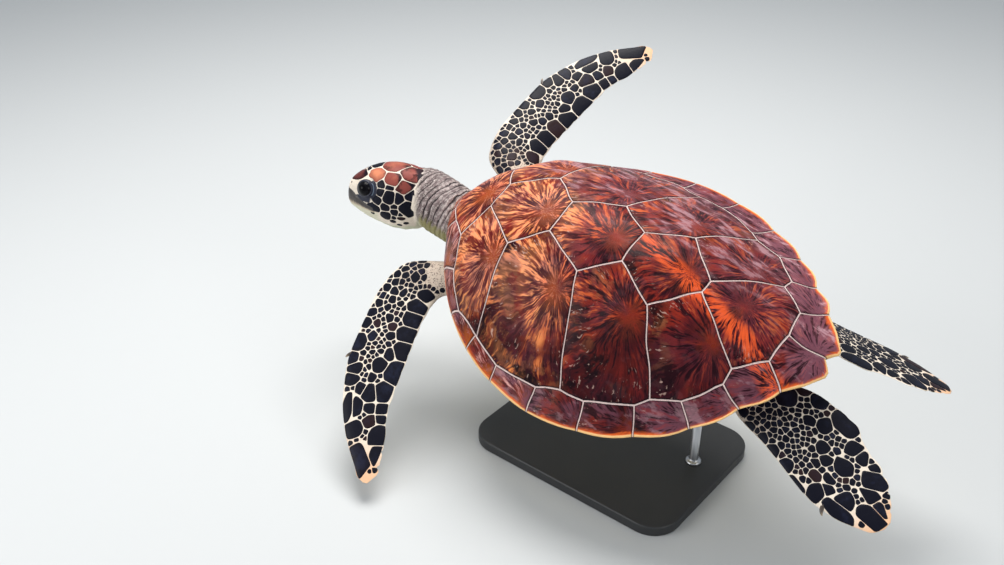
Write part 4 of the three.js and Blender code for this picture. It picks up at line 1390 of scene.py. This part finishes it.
def settle(point, height):
    found, out, _, _ = skin_tree.find_nearest(point)
    return found + out * height


def empty_coat():
    """A mesh with the layers that a scale needs."""
    bm = bmesh.new()
    marks = [bm.verts.layers.float.new(name) for name in SCALE_MARKS]
    return bm, marks, bm.loops.layers.uv.new("OFBake")


def cut_outline(bm, scale):
    """Cut the flat scale out of an oval; False if its neighbours leave no room for it."""
    bmesh.ops.create_circle(bm, cap_ends=True, segments=SIDES, radius=SPARE)
    frame_of = Matrix((
        (*(scale.along * scale.half[0]),), (*(scale.across * scale.half[1]),), (*scale.out,)))
    turn = frame_of.transposed().to_4x4()
    bmesh.ops.transform(bm, matrix=Matrix.Translation(scale.at) @ turn, verts=bm.verts)
    for at, way in scale.walls:
        if all((v.co - at).dot(way) < TOUCH for v in bm.verts):
            continue
        bmesh.ops.bisect_plane(
            bm, geom=whole(bm), dist=1e-4, plane_co=at, plane_no=way, clear_outer=True)
    if len(bm.faces) != 1 or bm.faces[:][0].calc_area() < LEAST_AREA:
        return False
    bmesh.ops.remove_doubles(bm, verts=bm.verts, dist=0.4)
    step = clamp(sum(e.calc_length() for e in bm.edges) / EDGE_COUNT, *STEP_RANGE)
    for _ in range(5):
        long = [e for e in bm.edges if e.calc_length() > step * 1.5]
        if long:
            bmesh.ops.bisect_edges(bm, edges=long, cuts=1)
    relax(bm, bm.verts)
    return True


def raise_dome(bm):
    """Add the rings; each point gets its flat place, its height and its share of the way in."""
    bottom = bm.verts[:]
    made = bmesh.ops.extrude_face_region(bm, geom=bm.faces[:], use_keep_orig=True)["geom"]
    face = next(g for g in made if isinstance(g, bmesh.types.BMFace))
    heart = face.calc_center_median()
    width = math.sqrt(face.calc_area())
    rows = {v: (v.co.copy(), UNDERSIDE, 0.0) for v in bottom}
    rings = MORE_RINGS if width > WIDE_SCALE else RINGS
    rise = clamp(width / 9, 0.6, 1.2)
    keep = 1.0
    for number, (part, height) in enumerate(rings):
        if number:
            bmesh.ops.inset_individual(bm, faces=[face], thickness=0.0)
            first = max(part, 1 - RIM_STEP * 2 / width) if number == 1 else part
            for v in face.verts:
                v.co = heart + (v.co - heart) * (first / keep)
            keep = first
        level = height * (rise if height > 0 else 1)
        for v in face.verts:
            rows[v] = (v.co.copy(), level, number / (len(rings) - 1))
    for v in bmesh.ops.poke(bm, faces=[face])["verts"]:
        rows[v] = (v.co.copy(), level, 1.0)
    return rows


def build_scale(scale, rng):
    bm, marks, uv_layer = empty_coat()
    if not cut_outline(bm, scale):
        print("no room at", [round(c) for c in scale.at])
        bm.free()
        return None
    rows = raise_dome(bm)
    tone = rng.random()
    for v, (flat, level, share) in rows.items():
        back = -(flat - scale.at).dot(scale.along + scale.across * 0.5) / scale.half[0]
        for layer, value in zip(marks, (share, tone, scale.warm, scale.pale, back)):
            v[layer] = value
        v.co = settle(flat, level)
    ways = (scale.along, scale.across)
    for f in bm.faces:
        for loop in f.loops:
            off = rows[loop.vert][0] - scale.at
            patch = [clamp(off.dot(way) / (half * 2), -1, 1) for way, half in zip(ways, scale.half)]
            loop[uv_layer].uv = [root + PATCH * p for root, p in zip(scale.root, patch)]
    bmesh.ops.recalc_face_normals(bm, faces=bm.faces)
    return bm


def build_coat(scales, seed):
    """Join many scales in one mesh."""
    rng = random.Random(seed)
    coat = empty_coat()[0]
    step = bpy.data.meshes.new("one_scale")
    count = 0
    for scale in scales:
        one = build_scale(scale, rng)
        if one is None:
            continue
        one.to_mesh(step)
        one.free()
        coat.from_mesh(step)
        count += 1
    bpy.data.meshes.remove(step)
    print(count, "scales,", sum(len(f.verts) - 2 for f in coat.faces), "triangles")
    return coat


# %% [markdown]
# ## The finish of the scales
# Most scales are blue-black with a faint grey sheen. On the crown of the head they are warm: orange
# in the middle, wine red towards the rim and dark at the back. On the undersides they are pale, with
# a dusky middle.

# %% Finish of the scales
NAVY = (0.0026, 0.0030, 0.0095)
NAVY_SHEEN = (0.016, 0.022, 0.056)
WINE = (0.175, 0.042, 0.036)
SALMON = (0.275, 0.066, 0.052)
BRIGHT_ORANGE = (0.640, 0.225, 0.120)
BROWN_SCALE = (0.030, 0.010, 0.007)
PALE_SCALE = (0.640, 0.540, 0.340)
DUSKY_SCALE = (0.200, 0.160, 0.120)


def scale_horn(name, sheen):
    f = Finish(name, Coat_Weight=0.03, Coat_Roughness=0.25, Specular_IOR_Level=0.13)
    place = f.place()
    middle = f.attribute("middle")
    tone = f.attribute("tone")
    warm = f.attribute("warm")
    pale = f.attribute("pale")
    cloud = f.noise(place, 90, 4, 0.6)
    grain = f.noise(place, 420, 3, 0.6)
    grey = f.rise(cloud + (tone - 0.5) * 0.35, 0.5, 0.78) * sheen * middle
    colour = f.blend(grey, NAVY, NAVY_SHEEN)
    colour = f.blend(f.rise(tone, 0.91, 0.97) * 0.6 * f.rise(warm, 0.2, 0.0), colour, BROWN_SCALE)
    stops = [(0.0, WINE), (0.45, SALMON), (1.0, BRIGHT_ORANGE)]
    heat = f.ramp(warm * (middle * 0.5 + 0.5) + (cloud - 0.5) * 0.7, stops)
    colour = f.blend(f.rise(warm, 0.12, 0.4), colour, heat)
    dusk = f.rise(cloud + (1 - middle) * 0.22 - warm * 0.22, 0.44, 0.66)
    colour = f.blend(f.rise(warm, 0.1, 0.3) * dusk * 0.75, colour, NEAR_BLACK)
    rear = f.rise(f.attribute("back") * 0.7 - warm * 0.75 + (cloud - 0.5) * 1.2, -0.05, 0.35)
    colour = f.blend(f.rise(warm, 0.1, 0.3) * rear * 0.92, colour, NAVY)
    light = f.blend(f.rise(cloud + middle * 0.12, 0.5, 0.72) * 0.7, PALE_SCALE, DUSKY_SCALE)
    colour = f.blend(pale, colour, light)
    roughness = 0.36 + cloud * 0.2
    height = grain * 0.4 + f.noise(place, 200, 2) * 0.6
    return f.paint(Base_Color=colour, Roughness=roughness, height=(height, 0.0003))


head_scale_finish = scale_horn("scale_head", 0.2)
limb_scale_finish = scale_horn("scale_limb", 0.45)

# %% [markdown]
# ## Scales of the head
# The crown has a fixed pattern: prefrontals, frontal, the large frontoparietal shield, parietals,
# and a supraocular over each eye. Below them the cheek is a mosaic. Each entry gives the place along
# the head, the angle up from the cheek, the length and width in millimetres, and how warm it is.

# %% The head's scales
CROWN_MIDDLE = {
    "frontal": (0.640, 90, 22, 18, 0.05),
    "frontoparietal": (0.365, 90, 42, 46, 0.62),
}
CROWN_SIDES = {
    "prefrontal": (0.820, 69, 30, 14, 0.27),
    "prefrontal_rear": (0.725, 79, 9, 9, 0.05),
    "supraocular": (0.585, 49, 28, 19, 0.98),
    "parietal": (0.162, 68, 25, 30, 0.46),
    "temporal": (0.365, 42, 25, 19, 0.56),
    "temporal_rear": (0.195, 29, 26, 17, 0.36),
    "postocular_1": (0.508, 29, 13, 10, 0), "postocular_2": (0.515, 14, 13, 10, 0),
    "postocular_3": (0.560, 0, 15, 12, 0), "postocular_4": (0.600, -15, 19, 11, 0),
    "cheek_1": (0.385, 25, 11, 6, 0.1), "cheek_2": (0.395, 8, 17, 19, 0),
    "cheek_3": (0.262, 8, 12, 16, 0), "cheek_4": (0.130, 16, 14, 15, 0),
    "cheek_5": (0.447, -8, 13, 11, 0), "cheek_6": (0.325, -4, 9, 6, 0),
    "cheek_7": (0.175, -4, 21, 22, 0), "cheek_8": (0.321, -13, 11, 9, 0),
    "cheek_9": (0.440, -23, 15, 12, 0), "cheek_10": (0.243, -24, 9, 5, 0),
    "cheek_11": (0.341, -25, 6, 5, 0), "cheek_12": (0.357, -35, 7, 5, 0),
    "cheek_13": (0.280, -43, 6, 4, 0), "cheek_14": (0.631, -31, 5, 4, 0),
    "cheek_15": (0.190, -36, 6, 4, 0.1), "cheek_16": (0.250, -16, 6, 5, 0),
}
EYE_BLOCK = (0.715, 19, 36, 34)


def head_scale(x, angle, length, width, warm=0.0):
    y, z = oval(angle / 360, head_half(x), head_top(x), head_bottom(x), HEAD_ROUNDNESS)
    at, out, _, _ = skin_tree.find_nearest(head_to_body @ Vector((x, y, z)))
    ahead = head_to_body.to_3x3() @ Vector((1, 0, 0))
    root = (0.05 + 0.9 * (x + 0.1) / 1.2, 0.05 + 0.9 * (angle + 90) / 360)
    return Scale(at, out, ahead, (length, width), warm, 0, root)


head_scales = [head_scale(*entry) for entry in CROWN_MIDDLE.values()]
for x, angle, *rest in CROWN_SIDES.values():
    head_scales.append(head_scale(x, angle, *rest))
    head_scales.append(head_scale(x, 180 - angle, *rest))
eye_blocks = [head_scale(*EYE_BLOCK), head_scale(EYE_BLOCK[0], 180 - EYE_BLOCK[1], *EYE_BLOCK[2:])]
set_walls(head_scales, eye_blocks)
make_piece(build_coat(head_scales, 3), "scales_head", head_scale_finish)

# %% [markdown]
# ## Scales of the flippers
# Large plates line the trailing edge like the flight feathers of a wing, a second row lines the
# leading edge, long ones cover the fused fingers, and small ones fill the soft middle, where the
# blade bends. Each entry is how far out, how far forward, how long and how wide, in millimetres.

# %% The flippers' scales
FRONT_SCALES = [
    (37, 11, 20, 26), (54, 18, 21, 32), (75, 18, 23, 30), (98, 18, 23, 28), (122, 16, 27, 25),
    (157, 15, 38, 24), (184, 20, 36, 18), (207, 15, 17, 15), (221, 9, 14, 12), (247, 5, 44, 20),
    (14, 36, 18, 12), (14, 51, 11, 9), (42, 44, 14, 9), (59, 42, 9, 9), (42, 57, 14, 10),
    (54, 57, 15, 10), (66, 58, 12, 9), (81, 50, 14, 11), (92, 41, 13, 11), (106, 39, 14, 13),
    (118, 38, 9, 9), (132, 31, 21, 11), (150, 39, 26, 17), (169, 42, 14, 13), (191, 37, 29, 16),
    (212, 30, 16, 16), (228, 23, 19, 17), (265, 0, 42, 10), (-12, 36, 11, 10), (-5, 48, 10, 12),
    (-3, 36, 9, 9), (5, 29, 10, 8), (-6, 26, 8, 7), (13, 24, 9, 7),
    (4, 56, 11, 12), (15, 65, 12, 10), (28, 62, 11, 10), (39, 72, 13, 11), (52, 73, 12, 10),
    (64, 74, 14, 11), (78, 78, 16, 13), (96, 79, 19, 13), (93, 65, 14, 10), (112, 64, 17, 13),
    (126, 78, 28, 16), (150, 79, 18, 14), (163, 70, 16, 20), (181, 70, 19, 18), (220, 60, 50, 13),
    (215, 47, 28, 14), (189, 54, 18, 13), (244, 39, 25, 25), (283, 18, 56, 30),
]
HIND_SCALES = [
    (8, -32, 27, 28), (10, -53, 24, 15), (35, -58, 21, 18), (48, -33, 15, 14), (65, -42, 19, 19),
    (76, -62, 38, 22), (84, -23, 17, 15), (105, -50, 18, 21), (122, -50, 15, 15),
    (117, -26, 25, 23), (98, -16, 15, 13), (148, -40, 33, 18), (138, -54, 12, 8),
    (160, -26, 27, 13), (175, -26, 20, 10), (177, -10, 33, 21), (148, -1, 22, 18),
    (151, 15, 47, 13), (120, 19, 21, 18), (99, 30, 25, 13), (74, 24, 19, 15), (50, 26, 17, 14),
    (31, 25, 15, 12), (10, 26, 13, 10), (103, 7, 16, 10), (118, -3, 17, 8), (125, 6, 17, 9),
    (93, -3, 14, 8), (-8, 22, 12, 9),
]
SMALL_SIZES = (5.2, 8.2)
DARTS = 5200
FIRST_SCALE = {"front": -18, "hind": -14}
LAST_SCALE = 16
EDGE_GAP = -0.7
EDGE_ROOM = 4.5
EDGE_STEP = 1.5
TOO_FAR = 40
PACKING = 0.42
# no scales grow this near a front flipper's root and rear edge, along a slope
ARMPIT = (22, 26, 0.3)
CAST_FROM = 45
JITTER = 0.8
UNDERSIDE_PALE = 0.92


def fill_small(limb, table, rng):
    """Small scales wherever there is room between the large ones."""
    small = []
    for _ in range(DARTS):
        s = rng.uniform(FIRST_SCALE[limb.kind], limb.length - LAST_SCALE)
        low = limb.trail_c(s) + EDGE_ROOM
        high = limb.lead_c(s) - EDGE_ROOM
        if high <= low:
            continue
        c = rng.uniform(low, high)
        if limb.kind == "front" and s < ARMPIT[0] and c < ARMPIT[1] - s * ARMPIT[2]:
            continue
        size = rng.uniform(*SMALL_SIZES)
        free = True
        for other_s, other_c, length, width in [*table, *small]:
            ds = s - other_s
            dc = c - other_c
            apart = math.hypot(ds, dc)
            if apart > TOO_FAR:
                continue
            reach = math.hypot(length / 2 * ds, width / 2 * dc) / max(apart, 0.1)
            if apart < reach + size * PACKING:
                free = False
                break
        if free:
            small.append((s, c, size, size * rng.uniform(0.8, 1.0)))
    return small


def on_limb(limb, s, c, face):
    """The skin over or under a place on the flipper, and its direction outwards."""
    start = limb.point(s, c, face * CAST_FROM)
    found, out, _, _ = skin_tree.ray_cast(start, limb.up * -face)
    if found is None:
        found, out, _, _ = skin_tree.find_nearest(limb.point(s, c, 0))
    return found, out


def edge_walls(limb, s, length):
    """Planes along the flipper's edges, so that no scale hangs over them."""
    walls = []
    for place in (s - length * 0.45, s, s + length * 0.45):
        x = clamp(place, -20, limb.length - EDGE_STEP)
        for edge, way in ((limb.lead_c, 1), (limb.trail_c, -1)):
            slope = (edge(x + EDGE_STEP) - edge(x - EDGE_STEP)) / (2 * EDGE_STEP)
            out = (limb.lead - limb.along * slope).normalized() * way
            at = limb.point(x, edge(x), 0) - out * EDGE_GAP
            walls.append((at, out))
    walls.append((limb.point(limb.length - EDGE_STEP, 0, 0), limb.along))
    return walls


def flipper_scales(limb, seed):
    rng = random.Random(seed)
    table = []
    for s, c, length, width in FRONT_SCALES if limb.kind == "front" else HIND_SCALES:
        moved = (s + rng.uniform(-JITTER, JITTER), c + rng.uniform(-JITTER, JITTER))
        table.append((*moved, length, width))
    table += fill_small(limb, table, rng)
    scales = []
    for face in (1, -1):
        for s, c, length, width in table:
            at, out = on_limb(limb, s, c, face)
            if out.dot(limb.up * face) < -0.1:
                continue
            u = 0.04 + 0.92 * (s + 50) / 370
            w = 0.03 + 0.42 * (c + 80) / 180 + (0.5 if face < 0 else 0)
            pale = 0.0 if face > 0 else UNDERSIDE_PALE
            scale = Scale(at, out, limb.along, (length, width), 0, pale, (u, w))
            scale.walls = edge_walls(limb, s, length)
            scales.append(scale)
    set_walls(scales, half_gap=HALF_GAP if limb.kind == "front" else HIND_HALF_GAP)
    return scales


for number, (name, limb) in enumerate(limbs.items()):
    coat = build_coat(flipper_scales(limb, 11 + number // 2), 21 + number)
    make_piece(coat, "scales_" + name, limb_scale_finish)

# %% [markdown]
# ## Eyes
# A turtle's eye is a wet ball with a bulging clear front. We take a sphere, push its front out into
# a shallow dome, and colour it by the angle from the line of sight: pupil, a dark iris, and slate.

# %% Eyes
EYE_SHRINK = 0.25
CORNEA_ANGLE = 0.75
CORNEA_BULGE = 0.7
PUPIL = (0.001, 0.001, 0.002)
IRIS = (0.004, 0.004, 0.006)
IRIS_OUTER = (0.003, 0.003, 0.005)
IRIS_EDGE = (0.002, 0.002, 0.003)
SLATE = (0.012, 0.016, 0.026)
SLATE_LIGHT = (0.020, 0.028, 0.044)
IRIS_FLECK = (0.006, 0.005, 0.005)


def eye_finish():
    f = Finish("eye_wet", Coat_Weight=0.28, Coat_Roughness=0.03, Coat_IOR=1.3, Specular_IOR_Level=0.05)
    fleck = f.noise(f.place(), 900, 3, 0.7)
    stops = [(0.0, PUPIL), (0.30, PUPIL), (0.34, IRIS), (0.52, IRIS_OUTER), (0.57, IRIS_EDGE),
             (0.70, SLATE), (1.0, SLATE_LIGHT)]
    colour = f.blend(fleck * 0.2, f.ramp(f.attribute("gaze"), stops), IRIS_FLECK)
    return f.paint(Base_Color=colour, Roughness=0.12 + fleck * 0.08)


eye_material = eye_finish()
for side, word in ((1, "left"), (-1, "right")):
    bm = bmesh.new()
    gaze_layer = bm.verts.layers.float.new("gaze")
    bmesh.ops.create_uvsphere(bm, u_segments=48, v_segments=32, radius=EYE_RADIUS - EYE_SHRINK)
    look = head_way(*EYE_LOOK, side)
    for v in bm.verts:
        angle = v.co.normalized().angle(Vector((0, 0, 1)))
        v[gaze_layer] = angle / (math.pi / 2)
        v.co *= 1 + CORNEA_BULGE / EYE_RADIUS * float(ease(-angle, -CORNEA_ANGLE, 0))
    turn = look.to_track_quat("Z", "Y").to_matrix().to_4x4()
    bmesh.ops.transform(bm, matrix=Matrix.Translation(eyes[side]) @ turn, verts=bm.verts)
    make_piece(bm, "eyeball_" + word, eye_material, ["eye_" + word])
print("eyes", 2 * EYE_RADIUS, "mm across")

# %% [markdown]
# ## The beak
# Turtles have no teeth: a sheath of horn covers the edge of the jaw. A grid is wrapped round the
# snout by casting rays at the skin from the middle of the head, and a solidify gives it thickness.

# %% Beak
BEAK_TOP = [
    (0.60, -0.15), (0.72, -0.126), (0.80, -0.092), (0.87, -0.040), (0.93, 0.010), (1.1, 0.030),
]
BEAK_NET = (96, 12)
BEAK_PIVOT = 0.62
BEAK_SWING = 96
BEAK_OUT = 0.75
BEAK_THICK = 1.3
BEAK_LIP = 0.012
LIP_CREAM = (0.55, 0.47, 0.33)
LIP_TAN = (0.36, 0.28, 0.19)
HORN_BROWN = (0.045, 0.034, 0.030)
HORN_BLACK = (0.014, 0.012, 0.014)
beak_line = smooth(BEAK_TOP, 1)


def snout_hit(swing, share):
    """A point of the snout: swing round it from left to right, share up from the mouth."""
    way = Vector((math.cos(swing), math.sin(swing), 0))
    x = BEAK_PIVOT + 0.35 * max(way.x, 0)
    found = None
    for _ in range(3):
        low = mouth_line(clamp(x, 0.3, 1.1)) - BEAK_LIP
        z = lerp(low, beak_line(clamp(x, 0.6, 1.1)), share)
        start = head_to_body @ Vector((BEAK_PIVOT, 0, z))
        ahead = head_way(*way)
        found, out, _, _ = skin_tree.ray_cast(start, ahead)
        if found is None:
            return start + ahead * 20, ahead
        x = (body_to_head @ found).x
    return found, out


def beak_finish():
    f = Finish("beak_horn", Coat_Weight=0.2, Coat_Roughness=0.3)
    grain = f.noise(f.stretch(f.place(), (1, 1, 0.35)), 260, 4, 0.6)
    stops = [(0.0, LIP_CREAM), (0.16, LIP_TAN), (0.34, HORN_BROWN), (1.0, HORN_BLACK)]
    colour = f.ramp(f.attribute("up") + (grain - 0.5) * 0.35, stops)
    return f.paint(Base_Color=colour, Roughness=0.42 + grain * 0.2, height=(grain, 0.0004))


bm = bmesh.new()
up_layer = bm.verts.layers.float.new("up")
bmesh.ops.create_grid(bm, x_segments=BEAK_NET[0], y_segments=BEAK_NET[1], size=1)
for v in bm.verts:
    across = v.co.x
    share = (v.co.y + 1) / 2
    found, out = snout_hit(math.radians(BEAK_SWING * across), share)
    border = min((1 - abs(across)) * 14, (1 - share) * 3.2, 1)
    lift = lerp(-0.25, BEAK_OUT, float(ease(border, 0, 1)))
    v[up_layer] = share
    v.co = found + out * lift
bmesh.ops.solidify(bm, geom=whole(bm), thickness=BEAK_THICK)
bmesh.ops.recalc_face_normals(bm, faces=bm.faces)
make_piece(bm, "beak_sheath", beak_finish(), ["beak"])

# %% [markdown]
# ## Claws
# Each flipper of a green turtle carries one claw on its leading edge: a small cone that bends
# towards the tip. It is a tube whose radius falls to almost nothing.

# %% Claws
CLAW_LENGTH = 9
CLAW_ROW = {"front": 4.15, "hind": 4.6}
CLAW_ROOT = -0.35
CLAW_RADIUS = (2.45, 0.35)
CLAW_BASE = (0.045, 0.030, 0.022)
CLAW_TIP = (0.42, 0.31, 0.18)


def claw_finish():
    f = Finish("claw_horn", Coat_Weight=0.3, Coat_Roughness=0.2)
    grain = f.noise(f.place(), 300, 3)
    colour = f.blend(f.rise(f.attribute("out"), 0.2, 0.9), CLAW_BASE, CLAW_TIP)
    return f.paint(Base_Color=colour, Roughness=0.3 + grain * 0.15, height=(grain, 0.0002))


claw_material = claw_finish()


def claw_place(limb):
    row = CLAW_ROW[limb.kind]
    base_s = limb.column[0](row)
    base_c = limb.column[1](row)

    def place(u, w):
        t = lerp(CLAW_ROOT, 1, w)
        s = base_s + t * CLAW_LENGTH * 0.75
        c = base_c - 1.5 + math.sin(1.5 * t) * CLAW_LENGTH * 0.6
        radius = lerp(*CLAW_RADIUS, clamp(t) ** 1.3)
        angle = 2 * math.pi * u
        side = radius * math.cos(angle)
        return limb.point(s - side * 0.6, c + side, radius * math.sin(angle))

    return place


for name, limb in limbs.items():
    bm = closed_tube(20, 22, claw_place(limb))
    out_layer = bm.verts.layers.float.new("out")
    start = limb.point(limb.column[0](CLAW_ROW[limb.kind]), 0, 0)
    for v in bm.verts:
        v[out_layer] = (v.co - start).dot(limb.along) / CLAW_LENGTH
    make_piece(bm, "horn_claw_" + name, claw_material, ["claw_" + name])
print("claws", CLAW_LENGTH, "mm long")

# %% [markdown]
# ## The plastron
# The belly shield is a flat-bottomed bowl of pale horn that turns up at the flanks to meet the
# shell. A grid is bent round the belly's curve; its seams are shallow grooves, one along the middle
# and five across.

# %% Plastron
PLASTRON = [
    (54, 0), (56, 18), (76, 50), (112, 72), (150, 84), (172, 140), (182, 215), (412, 215),
    (420, 140), (440, 92), (476, 74), (496, 40), (500, 0),
]
PLASTRON_NET = (150, 96)
PLASTRON_THICK = 4.6
PLASTRON_SKIN = 0.3
BELLY_SEAMS = [112, 176, 262, 340, 412, 462]
SEAM_REACH = 1.6
SEAM_GROOVE = 0.7
BELLY_YELLOW = (0.74, 0.62, 0.36)
BELLY_CREAM = (0.80, 0.72, 0.50)
BELLY_OCHRE = (0.55, 0.40, 0.20)
BELLY_SEAM = (0.42, 0.31, 0.17)


def plastron_reach(x):
    """How far up the belly's curve the plastron goes at x."""
    i = 0
    while i < len(PLASTRON) - 2 and x > PLASTRON[i + 1][0]:
        i += 1
    (x0, y0), (x1, y1) = PLASTRON[i], PLASTRON[i + 1]
    y = lerp(y0, y1, clamp((x - x0) / (x1 - x0)))
    full = belly_half(x) - PLASTRON_SKIN
    if y >= full:
        return 1.0
    return math.asin((y / full) ** (BELLY_POWER / 2)) * 2 / math.pi


def plastron_finish():
    f = Finish("plastron_horn", Coat_Weight=0.2, Coat_Roughness=0.2)
    place = f.place()
    cloud = f.noise(place, 13, 4, 0.6)
    grain = f.noise(place, 150, 3)
    seam = f.attribute("seam")
    colour = f.blend(f.rise(cloud, 0.4, 0.7), BELLY_YELLOW, BELLY_CREAM)
    colour = f.blend(f.rise(grain, 0.5, 0.8) * 0.3, colour, BELLY_OCHRE)
    colour = f.blend(f.rise(seam, 1.3, 0.3) * 0.6, colour, BELLY_SEAM)
    return f.paint(Base_Color=colour, Roughness=0.35 + grain * 0.2, height=(cloud + grain, 0.0004))


bm = bmesh.new()
seam_layer = bm.verts.layers.float.new("seam")
bmesh.ops.create_grid(bm, x_segments=PLASTRON_NET[0], y_segments=PLASTRON_NET[1], size=1)
bm.verts.ensure_lookup_table()
for v in bm.verts:
    x = lerp(PLASTRON[0][0] + 0.5, PLASTRON[-1][0] - 0.5, (v.co.x + 1) / 2)
    q = v.co.y * plastron_reach(x)
    p = belly_point(x, abs(q), -1 if q < 0 else 1, PLASTRON_SKIN, rim_height(x) - UNDER_RIM)
    bow = x + 6 * math.cos(p.y / 60)
    across = min(abs(bow - place) for place in BELLY_SEAMS)
    d = min(across, abs(p.y + 2 * math.sin(x / 40)))
    v[seam_layer] = d / SEAM_REACH
    p.z += SEAM_GROOVE * math.exp(-(d / SEAM_REACH) ** 2)
    v.co = p
bmesh.ops.recalc_face_normals(bm, faces=bm.faces)
down = sum(f.normal.z * f.calc_area() for f in bm.faces)
if down > 0:
    bmesh.ops.reverse_faces(bm, faces=bm.faces)
bmesh.ops.solidify(bm, geom=whole(bm), thickness=PLASTRON_THICK)
bmesh.ops.recalc_face_normals(bm, faces=bm.faces)
print("plastron faces", len(bm.faces))
make_piece(bm, "belly_shield", plastron_finish(), ["plastron"])

# %% [markdown]
# ## The stand
# The base is a slab of painted steel with rounded corners; the rods are brushed steel with a small
# collar where they enter it. Both keep the sizes of the solids, read from their boxes.

# %% Base and rods
BASE_CORNER = 40
BASE_EDGE = 2.5
ROD_RADIUS = 6
COLLAR = [(11, 0), (11, 1.6), (9.6, 3.0), (6.4, 4.2), (6, 5.5)]
PAINT_DARK = (0.018, 0.019, 0.021)
PAINT_LIGHT = (0.030, 0.031, 0.034)
STEEL_DARK = (0.50, 0.51, 0.53)
STEEL_LIGHT = (0.66, 0.67, 0.69)


def base_finish():
    f = Finish("stand_paint", Coat_Weight=0.15, Coat_Roughness=0.3)
    grain = f.noise(f.place(), 700, 3, 0.7)
    broad = f.noise(f.place(), 9, 3)
    colour = f.blend(broad * 0.5, PAINT_DARK, PAINT_LIGHT)
    return f.paint(Base_Color=colour, Roughness=0.45 + grain * 0.15, height=(grain, 0.00012))


def steel_finish():
    f = Finish("stand_steel", Metallic=1.0)
    brushed = f.noise(f.stretch(f.place(), (1, 1, 0.02)), 1400, 2)
    colour = f.blend(brushed, STEEL_DARK, STEEL_LIGHT)
    return f.paint(Base_Color=colour, Roughness=0.26 + brushed * 0.14, height=(brushed, 0.00004))


def round_off(bm, edges, width, segments):
    bmesh.ops.bevel(bm, geom=edges, offset=width / 1000, segments=segments, profile=0.5,
                    affect="EDGES", clamp_overlap=True, material=-1)


low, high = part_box("stand_base")
size = [b - a for a, b in zip(low, high)]
middle = [(a + b) / 2 for a, b in zip(low, high)]
bm = bmesh.new()
bmesh.ops.create_cube(bm, size=1)
place_base = Matrix.Translation(middle) @ Matrix.Diagonal((*size, 1))
bmesh.ops.transform(bm, matrix=place_base, verts=bm.verts)
upright = [e for e in bm.edges if abs(e.verts[0].co.z - e.verts[1].co.z) > size[2] / 2]
round_off(bm, upright, BASE_CORNER, 14)
flat = [e for e in bm.edges if abs(e.verts[0].co.z - e.verts[1].co.z) < 1e-6]
round_off(bm, flat, BASE_EDGE, 4)
base = make_piece(bm, "display_base", base_finish(), ["stand_base"], Matrix())
print("base", [round(s, 3) for s in size], "faces", len(base.data.polygons))

steel = steel_finish()
for name in ("stand_rod_front", "stand_rod_rear"):
    low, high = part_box(name)
    foot = Vector(((low[0] + high[0]) / 2, (low[1] + high[1]) / 2, 0))
    length = (high[2] - low[2]) * 1000
    steps = [(0, 0), *COLLAR, (ROD_RADIUS, length), (0, length)]
    bm = bmesh.new()
    profile = [bm.verts.new((r / 1000, 0, low[2] + h / 1000)) for r, h in steps]
    lines = [bm.edges.new(pair) for pair in zip(profile, profile[1:])]
    bmesh.ops.spin(bm, geom=profile + lines, cent=(0, 0, 0), axis=(0, 0, 1), angle=2 * math.pi,
                   steps=48, use_merge=True)
    bmesh.ops.remove_doubles(bm, verts=bm.verts, dist=1e-6)
    bmesh.ops.recalc_face_normals(bm, faces=bm.faces)
    piece_name = name.replace("stand", "display")
    make_piece(bm, piece_name, steel, [name], Matrix.Translation(foot))

# %% [markdown]
# ## The skin becomes a piece
# Only now, when nothing measures itself against it any more, is the skin set in the room.

# %% Finish the skin
SOFT_NODES = ["trunk", "neck", "head", "lower_jaw", "tail"]
SOFT_NODES += ["flipper_" + name for name in LIMBS]
make_piece(skin, "skin", skin_finish, SOFT_NODES)

# %% [markdown]
# ## Stage and light
# The model stands on a plain pale floor. One broad soft light stands for the bright surface over a
# swimmer's back, a second fills from the side, and the pale world keeps the shadows open.

# %% Floor, world and lights
FLOOR_SIZE = 14
FLOOR_COLOUR = (0.58, 0.60, 0.61)
FLOOR_SPECKLE = (0.5, 0.5, 0.5)
SKY_COLOUR = (0.86, 0.93, 1.0, 1)
SKY_STRENGTH = 0.42
WARM_LIGHT = (1.0, 0.97, 0.93)
SOFT_WHITE = (1.0, 0.98, 0.95)
AIM_AT = Vector((0, 0, 0.25))


def soft_light(name, at, size, power, colour):
    data = bpy.data.lights.new(name, "AREA")
    data.shape = "DISK"
    data.size = size
    data.energy = power
    data.color = colour
    light = add_object(name, data)
    light.location = at
    light.rotation_mode = "QUATERNION"
    light.rotation_quaternion = (AIM_AT - Vector(at)).to_track_quat("-Z", "Y")


floor_bm = bmesh.new()
bmesh.ops.create_grid(floor_bm, x_segments=1, y_segments=1, size=FLOOR_SIZE / 2)
floor_mesh = bpy.data.meshes.new("floor")
floor_bm.to_mesh(floor_mesh)
floor_bm.free()
floor_finish = Finish("studio_floor", Roughness=0.8)
speckle = floor_finish.noise(floor_finish.place(), 40, 2)
floor_tone = floor_finish.blend(speckle * 0.06, FLOOR_COLOUR, FLOOR_SPECKLE)
floor_mesh.materials.append(floor_finish.paint(Base_Color=floor_tone))
floor = add_object("floor", floor_mesh)

world = bpy.data.worlds.new("studio")
world.use_nodes = True
background = world.node_tree.nodes["Background"].inputs
background["Color"].default_value = SKY_COLOUR
background["Strength"].default_value = SKY_STRENGTH
bpy.context.scene.world = world
bpy.context.scene.view_settings.view_transform = "Standard"
soft_light("light_above", (-0.5, -0.6, 2.3), 1.6, 62, WARM_LIGHT)
soft_light("light_side", (2.2, -1.3, 1.4), 1.6, 34, SOFT_WHITE)
soft_light("light_rear", (0.4, 2.6, 1.6), 1.2, 16, SOFT_WHITE)
